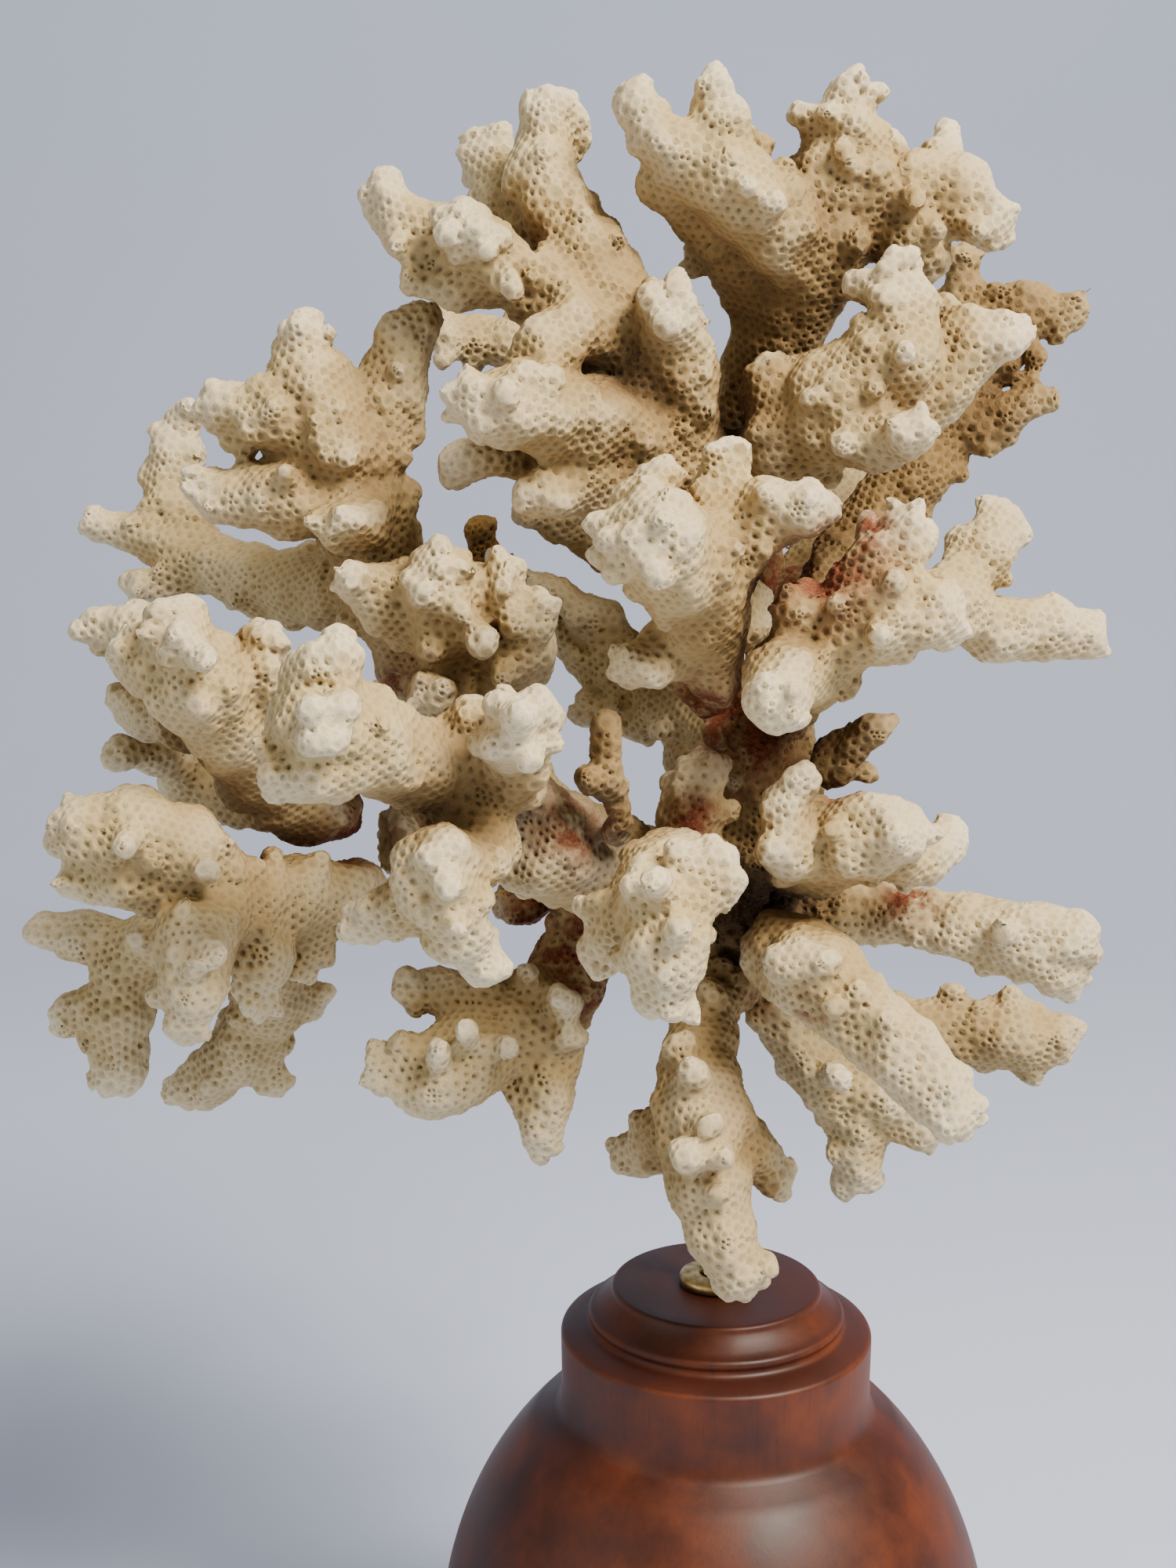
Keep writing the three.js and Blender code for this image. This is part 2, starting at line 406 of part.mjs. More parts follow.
      [[-72, 14, 135, 4.5], [-70, 16, 128, 3]],
    ],
    knobs: [[-63, -12, 170], [-64, -16, 168], [-67, -20, 168], [-57, -8, 168], [-54, -8, 158],
      [-57, -4, 151], [-60, -4, 150], [-74, -28, 148], [-70, -28, 150], [-75, -28, 151],
      [-74, -32, 160, 3], [-67, -34, 160, 3], [-70, -36, 159], [-63, -14, 150], [-67, -14, 148],
      [-62, -16, 156], [-85, -22, 179], [-89, -22, 177, 3], [-89, -22, 173, 3], [-87, -24, 171, 3],
      [-82, -28, 171, 3], [-79, -22, 178, 3], [-75, -24, 177, 3], [-73, -24, 175], [-79, -32, 174],
      [-77, -28, 170], [-73, -30, 168], [-69, -28, 169], [-93, -18, 171, 3], [-92, -18, 166, 3],
      [-81, -26, 179], [-77, -26, 164, 3], [-102, 4, 155], [-100, 4, 151], [-99, 4, 142, 3],
      [-95, 4, 138, 3], [-95, 4, 132, 3], [-92, 4, 129, 3], [-87, 4, 130, 3], [-85, 2, 136],
      [-85, -4, 155], [-82, -2, 149], [-83, 18, 121], [-80, 18, 122], [-71, 16, 125], [-64, 14, 133],
      [-65, 12, 139], [-68, 16, 130], [-85, 18, 124], [-93, 2, 148], [-74, 8, 139]],
  },
  lower_centre_arm: {
    from: "left_limb",
    limbs: [
      [[-18, 6, 163, 6], [-20, 4, 155, 5.5], [-23, 0, 147, 6], [-30, -5, 142, 7], [-37, -10, 139, 6.5],
       [-43, -12, 137, 5], [-47, -12, 137, 3.5]],
      [[-26, -4, 140, 6.5], [-26, -8, 132, 5], [-26, -10, 127, 3]],
      [[-30, -5, 142, 6.5], [-39, -6, 147, 4], [-43, -6, 147, 3]],
      [[-36, -10, 139, 6.5], [-40, -14, 136, 5], [-43, -14, 135, 4]],
    ],
    knobs: [[-21, -12, 147, 4], [-21, -12, 143, 4], [-23, -14, 149, 3], [-26, -10, 124],
      [-28, -10, 128], [-24, -8, 127], [-31, -10, 133], [-33, -14, 136], [-45, -6, 146],
      [-45, -8, 144], [-42, -6, 150], [-51, -12, 142], [-51, -12, 137], [-48, -13, 135],
      [-48, -14, 144], [-37, -2, 149], [-32, -8, 150], [-28, -10, 152], [-36, -20, 146],
      [-30, -18, 143], [-23, -8, 134], [-40, -20, 144]],
  },
  twigs: {
    from: "front_left_arm",
    growth: 0,
    limbs: [
      [[-15, -24, 173, 1.8], [-16, -28, 178, 1.8], [-17, -30, 183, 1.8], [-17, -30, 188, 1.8],
       [-17, -30, 190, 1.8]],
      [[-16, -29, 181, 1.8], [-20, -32, 183, 1.8], [-23, -34, 185, 1.8], [-23, -34, 187, 1.8]],
    ],
    knobs: [[-19, -30, 186, 1], [-15, -29, 185, 1], [-15, -30, 188, 1], [-22, -33, 188, 1]],
  },
  back_left_arm: {
    from: "left_limb",
    limbs: [
      [[-37, 13, 166, 5.5], [-39, 34, 165, 5.5], [-38, 48, 175, 5.5], [-37, 58, 187, 5.5],
       [-38, 62, 195, 4]],
      [[-38, 48, 175, 5], [-45, 54, 177, 4.5], [-53, 58, 180, 3.5]],
    ],
    knobs: [[-26, 58, 186, 3], [-45, 60, 188, 3]],
  },
  back_upper_branch: {
    from: "trunk",
    limbs: [
      [[3, 12, 194, 6.5], [-1, 30, 201, 6], [-5, 44, 209, 6], [-12, 52, 221, 6], [-18, 54, 231, 5.5],
       [-26, 52, 240, 4.5], [-33, 46, 241, 4.5], [-40, 44, 242, 3.5]],
      [[-5, 44, 211, 5.5], [-16, 40, 208, 4], [-24, 34, 214, 4.5], [-28, 30, 215, 3.5]],
      [[-12, 52, 221, 6], [-6, 62, 234, 5], [-3, 66, 243, 4]],
      [[-15, 52, 227, 5], [-26, 56, 223, 4]],
    ],
    knobs: [[-43, 38, 242, 3], [-38, 42, 237, 3], [-36, 42, 242, 3], [-43, 38, 237]],
  },
  back_right_arm: {
    from: "trunk",
    limbs: [
      [[5, 10, 189, 6.5], [12, 32, 196, 6], [18, 48, 203, 6], [24, 60, 212, 5.5], [26, 66, 220, 4]],
      [[18, 46, 201, 5], [28, 54, 200, 4.5], [35, 56, 202, 3.5]],
    ],
    knobs: [],
  },
  back_low_arm: {
    from: "trunk",
    limbs: [
      [[7, 4, 167, 6], [8, 28, 164, 5.5], [5, 42, 161, 6], [1, 54, 166, 6], [-2, 60, 172, 4.5]],
      [[5, 38, 159, 5.5], [13, 52, 151, 5], [18, 60, 145, 4]],
      [[5, 36, 160, 5], [-5, 50, 150, 5], [-10, 56, 142, 3.5]],
    ],
    knobs: [],
  },
  back_mid_arm: {
    from: "trunk",
    limbs: [
      [[6, 4, 176, 6.5], [3, 22, 180, 5.5], [-7, 34, 185, 5], [-16, 40, 188, 4.5], [-22, 42, 193, 3.5]],
      [[-6, 32, 184, 4.5], [-12, 36, 181, 3.5], [-18, 38, 182, 3]],
      [[-13, 38, 190, 4.5], [-18, 38, 197, 4], [-26, 36, 202, 2.5], [-32, 34, 204, 2]],
    ],
    knobs: [[-25, 42, 194], [-20, 44, 194], [-21, 38, 180]],
  },
  brown_finger: {
    from: "back_left_arm",
    growth: 0.3,
    limbs: [
      [[-34, 50, 181, 4.5], [-36, 46, 195, 4], [-36, 40, 206, 3.5], [-37, 38, 211, 2.5]],
    ],
    knobs: [[-38, 38, 210, 2], [-34, 38, 212, 2]],
  },
};


const length3 = (x, y, z) => Math.sqrt(x * x + y * y + z * z);

// A point part-way along a limb, with its radius and direction.
function along(limb, distance) {
  let left = distance;
  for (let i = 0; i + 1 < limb.length; i += 1) {
    const [a, b] = [limb[i], limb[i + 1]];
    const step = length3(b[0] - a[0], b[1] - a[1], b[2] - a[2]);
    if (left <= step || i + 2 === limb.length) {
      const t = Math.min(left / step, 1);
      const point = a.map((value, k) => value + (b[k] - value) * t);
      const direction = [0, 1, 2].map((k) => (b[k] - a[k]) / step);
      return { point, direction, done: left > step };
    }
    left -= step;
  }
  return null;
}

// Nearest place on a set of limbs to a point.
function nearestOn(limbs, p) {
  let best = null;
  for (const limb of limbs) {
    for (let i = 0; i + 1 < limb.length; i += 1) {
      const [a, b] = [limb[i], limb[i + 1]];
      const ab = [b[0] - a[0], b[1] - a[1], b[2] - a[2]];
      const ap = [p[0] - a[0], p[1] - a[1], p[2] - a[2]];
      const t = Math.min(1, Math.max(0, dot(ap, ab) / dot(ab, ab)));
      const q = a.map((value, k) => value + (b[k] - value) * t);
      const away = length3(p[0] - q[0], p[1] - q[1], p[2] - q[2]) - q[3];
      if (!best || away < best.away) best = { away, q };
    }
  }
  return best.q;
}

function dot(a, b) {
  return a[0] * b[0] + a[1] * b[1] + a[2] * b[2];
}

// A knob: a short cone with a round end, from the limb's middle line out to its tip.
function knobTo(limbs, tip) {
  const root = nearestOn(limbs, tip);
  const radius = tip[3] ?? KNOB_RADIUS;
  const end = radius * KNOB_TAPER;
  const reach = length3(tip[0] - root[0], tip[1] - root[1], tip[2] - root[2]) || 1;
  const share = Math.max(0.15, (reach + KNOB_STRETCH - end) / reach);
  const middle = [0, 1, 2].map((k) => root[k] + (tip[k] - root[k]) * share);
  return [[root[0], root[1], root[2], Math.min(radius, root[3])], [...middle, end]];
}

// Knobs on the side turned away, set round each limb by the golden angle.
function backKnobs(limbs, growth) {
  const knobs = [];
  if (growth === 0) return knobs;
  let count = 0;
  for (const limb of limbs) {
    for (let s = BACK_KNOB_STEP; ; s += BACK_KNOB_STEP) {
      const place = along(limb, s);
      if (place.done) break;
      count += 1;
      const angle = count * 2.39996;
      const d = place.direction;
      const side = Math.abs(d[2]) < 0.8 ? [d[1], -d[0], 0] : [0, d[2], -d[1]];
      const scale = 1 / length3(...side);
      const u = side.map((value) => value * scale);
      const w = [d[1] * u[2] - d[2] * u[1], d[2] * u[0] - d[0] * u[2], d[0] * u[1] - d[1] * u[0]];
      const out = [0, 1, 2].map((k) => u[k] * Math.cos(angle) + w[k] * Math.sin(angle) + d[k] * 0.35);
      if (out[1] < 0.15) continue;
      const norm = 1 / length3(...out);
      const [x, y, z, r] = place.point;
      const reach = r + BACK_KNOB_REACH * growth * (0.7 + 0.6 * Math.abs(Math.sin(count * 1.7)));
      knobs.push([x + out[0] * norm * reach, y + out[1] * norm * reach, z + out[2] * norm * reach]);
    }
  }
  return knobs;
}

// Swellings that make the limbs uneven.
function lump(x, y, z) {
  const a = Math.sin(0.61 * x + 1.4 * Math.sin(0.33 * z)) * Math.sin(0.57 * y + 1.1 * Math.sin(0.29 * x));
  const b = Math.sin(0.83 * z + 1.2 * Math.sin(0.41 * y) + 0.5);
  return LUMP * (a + 0.6 * b * Math.sin(0.37 * x - 0.45 * y));
}

// Every branch as a list of round cones: its limbs first, then its knobs.
function branchShapes() {
  return Object.entries(BRANCHES).map(([name, branch]) => {
    const tips = [...branch.knobs, ...backKnobs(branch.limbs, branch.growth ?? 1)];
    const knobs = tips.map((tip) => knobTo(branch.limbs, tip));
    return { name, from: branch.from, limbs: branch.limbs, parts: [...branch.limbs, ...knobs] };
  });
}

// Distances to one branch on its part of the grid.
function branchField(shape, grid) {
  const margin = 9;
  const low = [Infinity, Infinity, Infinity];
  const high = [-Infinity, -Infinity, -Infinity];
  for (const part of shape.parts) {
    for (const p of part) {
      for (let k = 0; k < 3; k += 1) {
        low[k] = Math.min(low[k], p[k] - p[3] - margin);
        high[k] = Math.max(high[k], p[k] + p[3] + margin);
      }
    }
  }
  const from = low.map((value, k) => Math.max(0, Math.floor((value - grid.origin[k]) / CELL)));
  const to = high.map((value, k) => Math.min(grid.size[k] - 1, Math.ceil((value - grid.origin[k]) / CELL)));
  const size = [0, 1, 2].map((k) => to[k] - from[k] + 1);
  const nearest = new Float64Array(size[0] * size[1] * size[2]).fill(Infinity);
  const second = nearest.slice();
  for (const part of shape.parts) addPart(part, { nearest, second, from, size }, grid, margin);
  const values = nearest.map((d, i) => (d < Infinity ? softly(d, second[i]) : d));
  return { from, size, values };
}

// The nearest of two distances, less where both are about equal, which fills the crotch in.
function softly(nearest, second) {
  const overlap = Math.max(0, 1 - (second - nearest) / LIMB_BLEND);
  return nearest - (overlap * overlap * LIMB_BLEND) / 4;
}

// Takes one limb or knob into a branch's two nearest distances at every grid point.
function addPart(part, { nearest, second, from, size }, grid, margin) {
  const low = [0, 1, 2].map((k) => Math.min(...part.map((p) => p[k] - p[3])) - margin);
  const high = [0, 1, 2].map((k) => Math.max(...part.map((p) => p[k] + p[3])) + margin);
  const i0 = low.map((v, k) => Math.max(0, Math.floor((v - grid.origin[k]) / CELL) - from[k]));
  const i1 = high.map((v, k) => Math.min(size[k] - 1, Math.ceil((v - grid.origin[k]) / CELL) - from[k]));
  for (let k = i0[2]; k <= i1[2]; k += 1) {
    const z = grid.origin[2] + (k + from[2]) * CELL;
    for (let j = i0[1]; j <= i1[1]; j += 1) {
      const y = grid.origin[1] + (j + from[1]) * CELL;
      for (let i = i0[0]; i <= i1[0]; i += 1) {
        const x = grid.origin[0] + (i + from[0]) * CELL;
        const d = coneDistance(part, x, y, z);
        const at = i + size[0] * (j + size[1] * k);
        if (d >= margin || d >= second[at]) continue;
        second[at] = Math.max(d, nearest[at]);
        nearest[at] = Math.min(d, nearest[at]);
      }
    }
  }
}

function coneDistance(part, x, y, z) {
  let best = Infinity;
  for (let s = 0; s + 1 < part.length; s += 1) {
    const a = part[s];
    const b = part[s + 1];
    const bx = b[0] - a[0];
    const by = b[1] - a[1];
    const bz = b[2] - a[2];
    const px = x - a[0];
    const py = y - a[1];
    const pz = z - a[2];
    const span = bx * bx + by * by + bz * bz + 1e-9;
    const t = Math.min(1, Math.max(0, (px * bx + py * by + pz * bz) / span));
    const away = length3(px - bx * t, py - by * t, pz - bz * t);
    best = Math.min(best, away - a[3] - (b[3] - a[3]) * t);
  }
  return best;
}

// Whether two branches are one flesh at a point: one carries the other, and the point lies in the
// fork between them, well before the cut.
function joined(a, b, point) {
  const child = a.from === b.name ? a : b;
  if (child.from !== (child === a ? b : a).name) return false;
  const { centre, normal, radius } = child.neck;
  const p = [0, 1, 2].map((k) => point[k] - centre[k]);
  const height = dot(p, normal);
  return height < -FORK_DEPTH && length3(...p) < radius + FORK_DEPTH;
}

// The whole coral's field: branches grow together at their forks and stay apart elsewhere.
function coralField(shapes) {
  const points = shapes.flatMap((shape) => shape.parts.flat());
  const pad = 5;
  const low = [0, 1, 2].map((k) => points.reduce((m, p) => Math.min(m, p[k] - p[3]), Infinity) - pad);
  const high = [0, 1, 2].map((k) => points.reduce((m, p) => Math.max(m, p[k] + p[3]), -Infinity) + pad);
  const size = low.map((value, k) => Math.ceil((high[k] - value) / CELL) + 1);
  const grid = { origin: low, size, values: new Float32Array(size[0] * size[1] * size[2]).fill(9) };
  const first = new Float32Array(grid.values.length).fill(99);
  const owner = new Int16Array(grid.values.length).fill(-1);
  const fields = shapes.map((shape) => branchField(shape, grid));
  const each = (field, visit) => {
    const { from, size: n, values } = field;
    for (let k = 0; k < n[2]; k += 1) {
      for (let j = 0; j < n[1]; j += 1) {
        const row = from[0] + size[0] * (j + from[1] + size[1] * (k + from[2]));
        for (let i = 0; i < n[0]; i += 1) {
          const place = [i, j, k].map((step, axis) => low[axis] + (step + from[axis]) * CELL);
          visit(row + i, values[i + n[0] * (j + n[1] * k)], place);
        }
      }
    }
  };
  const carries = shapes.map((shape) => (shapes.some((s) => s.from === shape.name) ? FORK_REACH : 0));
  fields.forEach((field, b) => each(field, (at, d) => {
    if (d - carries[b] < first[at]) {
      first[at] = d - carries[b];
      owner[at] = b;
    }
  }));
  const sum = new Float64Array(grid.values.length);
  const other = new Float32Array(grid.values.length).fill(99);
  fields.forEach((field, b) => each(field, (at, d, place) => {
    if (owner[at] < 0) return;
    if (owner[at] === b || joined(shapes[owner[at]], shapes[b], place)) {
      if (d < 20) sum[at] += Math.exp(-d / BRANCH_BLEND);
    } else if (d - carries[b] < other[at]) {
      other[at] = d - carries[b];
    }
  }));
  for (let k = 0; k < size[2]; k += 1) {
    for (let j = 0; j < size[1]; j += 1) {
      for (let i = 0; i < size[0]; i += 1) {
        const at = i + size[0] * (j + size[1] * k);
        if (sum[at] === 0) continue;
        const body = -BRANCH_BLEND * Math.log(sum[at]);
        const swell = lump(low[0] + i * CELL, low[1] + j * CELL, low[2] + k * CELL);
        const value = Math.max(body - swell, CLEFT / 2 - (other[at] - first[at]) / 2);
        grid.values[at] = Math.abs(value) < 1e-4 ? 1e-4 : value;
      }
    }
  }
  keepApart(grid, owner, shapes);
  return grid;
}

// Empties the grid points where branches that don't carry each other would still touch.
function keepApart({ origin, size, values }, owner, shapes) {
  const stride = [1, size[0], size[0] * size[1]];
  const steps = [1, 2, 3, 4, 5, 6, 7].map((c) => (c & 1) + stride[1] * ((c >> 1) & 1) + stride[2] * (c >> 2));
  for (let at = 0; at + steps[6] < values.length; at += 1) {
    if (values[at] >= 0) continue;
    for (const step of steps) {
      const [a, b] = [owner[at], owner[at + step]];
      if (a === b || values[at + step] >= 0) continue;
      const node = [at % size[0], Math.floor(at / stride[1]) % size[1], Math.floor(at / stride[2])];
      const place = node.map((n, k) => origin[k] + n * CELL);
      if (joined(shapes[a], shapes[b], place)) continue;
      values[at] = 0.3;
      values[at + step] = 0.3;
    }
  }
}

// Surface of the field where it is zero, cell by cell over six tetrahedra.
const TETRAHEDRA = [[0, 1, 3, 7], [0, 3, 2, 7], [0, 2, 6, 7], [0, 6, 4, 7], [0, 4, 5, 7], [0, 5, 1, 7]];

function surface(grid) {
  const { origin, size, values } = grid;
  const stride = [1, size[0], size[0] * size[1]];
  const corners = [0, 1, 2, 3, 4, 5, 6, 7];
  const corner = corners.map((c) => (c & 1) + stride[1] * ((c >> 1) & 1) + stride[2] * (c >> 2));
  const positions = [];
  const triangles = [];
  const made = new Map();
  const vertex = (a, b) => {
    const [p, q] = a < b ? [a, b] : [b, a];
    const key = p * 8 + corner.indexOf(q - p);
    let index = made.get(key);
    if (index === undefined) {
      const t = values[p] / (values[p] - values[q]);
      const s = Math.min(0.9, Math.max(0.1, t));
      const axis = corner.indexOf(q - p);
      const node = [p % size[0], Math.floor(p / stride[1]) % size[1], Math.floor(p / stride[2])];
      node.forEach((n, k) => positions.push(origin[k] + (n + s * ((axis >> k) & 1)) * CELL));
      index = made.size;
      made.set(key, index);
    }
    return index;
  };
  const add = (a, b, c) => {
    if (a !== b && b !== c && c !== a) triangles.push(a, b, c);
  };
  for (let k = 0; k + 1 < size[2]; k += 1) {
    for (let j = 0; j + 1 < size[1]; j += 1) {
      for (let i = 0; i + 1 < size[0]; i += 1) {
        const base = i + stride[1] * j + stride[2] * k;
        const inside = corner.map((c) => values[base + c] < 0);
        if (inside.every((v) => v === inside[0])) continue;
        for (const tetra of TETRAHEDRA) {
          const solid = tetra.filter((c) => inside[c]);
          const empty = tetra.filter((c) => !inside[c]);
          if (solid.length === 0 || empty.length === 0) continue;
          const edge = (s, e) => vertex(base + corner[s], base + corner[e]);
          const turned = handed(tetra, solid, empty);
          const ring = ringOf(solid, empty).map(([s, e]) => edge(s, e));
          if (turned) ring.reverse();
          for (let n = 1; n + 1 < ring.length; n += 1) add(ring[0], ring[n], ring[n + 1]);
        }
      }
    }
  }
  return { positions, triangles };
}

// The crossed edges of a tetrahedron in order round it, each as [corner in, corner out].
function ringOf(solid, empty) {
  if (solid.length === 1) return empty.map((e) => [solid[0], e]);
  if (empty.length === 1) return solid.map((s) => [s, empty[0]]);
  const [[s, t], [e, f]] = [solid, empty];
  return [[s, e], [s, f], [t, f], [t, e]];
}

// Whether a tetrahedron's ring has to be turned over to face outward.
function handed(tetra, solid, empty) {
  const place = (c) => [c & 1, (c >> 1) & 1, c >> 2];
  const mean = (list) => [0, 1, 2].map((k) => list.reduce((m, c) => m + place(c)[k], 0) / list.length);
  const out = mean(empty).map((v, k) => v - mean(solid)[k]);
  const middle = (s, e) => place(s).map((v, k) => (v + place(e)[k]) / 2);
  const [a, b, c] = ringOf(solid, empty).map(([s, e]) => middle(s, e));
  const u = b.map((v, k) => v - a[k]);
  const w = c.map((v, k) => v - a[k]);
  const normal = [u[1] * w[2] - u[2] * w[1], u[2] * w[0] - u[0] * w[2], u[0] * w[1] - u[1] * w[0]];
  return dot(normal, out) < 0;
}

// Thins the surface to the wanted count, always removing the edge that changes the form least.
// Points that carry the mark of a cut face stay in that face.
function thin(mesh, marks, wanted) {
  const count = mesh.positions.length / 3;
  const at = Array.from({ length: count }, (_, v) => mesh.positions.slice(v * 3, v * 3 + 3));
  const faces = [];
  const around = Array.from({ length: count }, () => new Set());
  for (let f = 0; f * 3 < mesh.triangles.length; f += 1) {
    const face = mesh.triangles.slice(f * 3, f * 3 + 3);
    faces.push(face);
    face.forEach((v) => around[v].add(f));
  }
  const error = Array.from({ length: count }, () => new Float64Array(11));
  for (const face of faces) {
    const { normal, area } = plane(face.map((v) => at[v]));
    const d = -dot(normal, at[face[0]]);
    face.forEach((v) => addPlane(error[v], normal, d, area));
  }
  let heap = new Heap();
  const stamp = new Int32Array(count);
  let limit = FIRST_LIMIT;
  const offer = (a, b) => {
    if (marks[a] && marks[b] && marks[a] !== marks[b]) return;
    const hold = marks[a] ? at[a] : marks[b] && at[b];
    const { point, cost } = bestPoint(error[a], error[b], at[a], at[b], marks[a] === marks[b] ? null : hold);
    if (cost < limit) heap.push({ cost, a, b, point, stamp: stamp[a] + stamp[b] });
  };
  const neighbours = (v) => {
    const found = new Set();
    for (const f of around[v]) faces[f].forEach((w) => found.add(w));
    found.delete(v);
    return found;
  };
  let left = faces.length;
  for (; left > wanted; limit *= 1.5) {
    heap = new Heap();
    for (let v = 0; v < count; v += 1) {
      for (const w of neighbours(v)) if (v < w) offer(v, w);
    }
    while (left > wanted && heap.size > 0) {
      const { a, b, point, stamp: then } = heap.pop();
      if (around[a].size && around[b].size && then === stamp[a] + stamp[b]) join(a, b, point);
    }
  }
  function join(a, b, point) {
    const ringA = neighbours(a);
    const shared = [...neighbours(b)].filter((v) => ringA.has(v));
    if (!ringA.has(b) || shared.length !== 2 || turns(a, b, point) || turns(b, a, point)) return;
    for (const f of [...around[b]]) {
      if (faces[f].includes(a)) {
        faces[f].forEach((v) => around[v].delete(f));
        faces[f] = null;
        left -= 1;
      } else {
        faces[f][faces[f].indexOf(b)] = a;
        around[a].add(f);
      }
    }
    around[b].clear();
    at[a] = point;
    marks[a] = marks[a] || marks[b];
    error[b].forEach((value, k) => {
      error[a][k] += value;
    });
    stamp[a] += 1;
    for (const v of neighbours(a)) offer(a, v);
  }
  // Whether moving one end of an edge there would fold a face over or make it a sliver.
  function turns(v, other, point) {
    for (const f of around[v]) {
      if (faces[f].includes(other)) continue;
      const old = faces[f].map((w) => at[w]);
      const corners = faces[f].map((w) => (w === v ? point : at[w]));
      const before = plane(old);
      const after = plane(corners);
      if (before.area > 0.02 && dot(before.normal, after.normal) < 0.15) return true;
      const shape = sharpest(corners);
      if (shape < 0.08 && shape < sharpest(old)) return true;
    }
    return false;
  }
  return { at, faces: faces.filter(Boolean) };
}

function plane([a, b, c]) {
  const u = [b[0] - a[0], b[1] - a[1], b[2] - a[2]];
  const w = [c[0] - a[0], c[1] - a[1], c[2] - a[2]];
  const n = [u[1] * w[2] - u[2] * w[1], u[2] * w[0] - u[0] * w[2], u[0] * w[1] - u[1] * w[0]];
  const size = length3(...n) || 1e-12;
  return { normal: n.map((v) => v / size), area: size / 2 };
}

// Height of a triangle over its longest side.
function sharpest(corners) {
  const sides = [0, 1, 2].map((k) => {
    const [p, q] = [corners[k], corners[(k + 1) % 3]];
    return length3(p[0] - q[0], p[1] - q[1], p[2] - q[2]);
  });
  return (2 * plane(corners).area) / Math.max(...sides) ** 2;
}

function addPlane(q, [x, y, z], d, weight) {
  const terms = [x * x, x * y, x * z, x * d, y * y, y * z, y * d, z * z, z * d, d * d, 1];
  terms.forEach((value, k) => {
    q[k] += value * weight;
  });
}

function bestPoint(q1, q2, a, b, hold) {
  const q = q1.map((value, k) => value + q2[k]);
  const cost = ([x, y, z]) => (
    q[0] * x * x + q[4] * y * y + q[7] * z * z + 2 * (q[1] * x * y + q[2] * x * z + q[5] * y * z)
    + 2 * (q[3] * x + q[6] * y + q[8] * z) + q[9]) / q[10];
  const middle = a.map((value, k) => (value + b[k]) / 2);
  const tries = hold ? [hold] : [a, b, middle];
  const m = new THREE.Matrix3().set(q[0], q[1], q[2], q[1], q[4], q[5], q[2], q[5], q[7]);
  if (!hold && Math.abs(m.determinant()) > 1e-3 * q[10] ** 3) {
    const v = new THREE.Vector3(-q[3], -q[6], -q[8]).applyMatrix3(m.invert());
    const span = length3(a[0] - b[0], a[1] - b[1], a[2] - b[2]);
    if (length3(v.x - middle[0], v.y - middle[1], v.z - middle[2]) < span) tries.push([v.x, v.y, v.z]);
  }
  const costs = tries.map(cost);
  const best = costs.indexOf(Math.min(...costs));
  const long = length3(a[0] - b[0], a[1] - b[1], a[2] - b[2]);
  return { point: tries[best], cost: Math.max(costs[best], 0) + EVENNESS * long * long };
}

class Heap {
  constructor() {
    this.items = [];
  }

  get size() {
    return this.items.length;
  }

  push(item) {
    const list = this.items;
    let i = list.push(item) - 1;
    while (i > 0) {
      const up = (i - 1) >> 1;
      if (list[up].cost <= item.cost) break;
      list[i] = list[up];
      i = up;
    }
    list[i] = item;
  }

  pop() {
    const list = this.items;
    const top = list[0];
    const last = list.pop();
    if (list.length > 0) {
      let i = 0;
      for (;;) {
        let next = 2 * i + 1;
        if (next >= list.length) break;
        if (next + 1 < list.length && list[next + 1].cost < list[next].cost) next += 1;
        if (list[next].cost >= last.cost) break;
        list[i] = list[next];
        i = next;
      }
      list[i] = last;
    }
    return top;
  }
}

function solidOf(geometry) {
  const bare = geometry.clone();
  bare.deleteAttribute("normal");
  bare.deleteAttribute("uv");
  const merged = mergeVertices(bare, 1e-4);
  return new wasm.Manifold(new wasm.Mesh({
    numProp: 3,
    vertProperties: new Float32Array(merged.attributes.position.array),
    triVerts: new Uint32Array(merged.index.array),
  }));
}

function solidFromMesh(positions, triangles) {
  return new wasm.Manifold(new wasm.Mesh({
    numProp: 3,
    vertProperties: new Float32Array(positions),
    triVerts: new Uint32Array(triangles),
  }));
}

function geometryOf(solid) {
  const mesh = solid.getMesh();
  const geometry = new THREE.BufferGeometry();
  const stride = mesh.numProp;
  const positions = new Float32Array((mesh.vertProperties.length / stride) * 3);
  for (let i = 0; i * 3 < positions.length; i += 1) {
    for (let k = 0; k < 3; k += 1) positions[i * 3 + k] = mesh.vertProperties[i * stride + k];
  }
  geometry.setAttribute("position", new THREE.BufferAttribute(positions, 3));
  geometry.setIndex(new THREE.BufferAttribute(new Uint32Array(mesh.triVerts), 1));
  geometry.computeVertexNormals();
  return geometry;
}

function upright(profile, sides) {
  const points = profile.map(([r, z]) => new THREE.Vector2(r, z));
  return new THREE.LatheGeometry(points, sides).rotateX(Math.PI / 2);
}

function rodShape(radius, bottom, top) {
  return upright([[0, bottom], [radius, bottom], [radius, top], [0, top]], 12);
}

// Where a branch is cut from the one that carries it: just outside that one's surface.
function neckOf(shape, carrier) {
  const { cut, cutRadius } = BRANCHES[shape.name];
  let place = along(shape.limbs[0], cut ?? 0);
  for (let s = 0; cut === undefined && !place.done; s += 0.5) {
    place = along(shape.limbs[0], s);
    const clear = Math.min(...carrier.limbs.map((limb) => coneDistance(limb, ...place.point.slice(0, 3))));
    if (clear > CUT_CLEAR) break;
  }
  const radius = cutRadius ?? place.point[3] * 1.15 + 2.6;
  return { centre: place.point.slice(0, 3), normal: place.direction, radius };
}

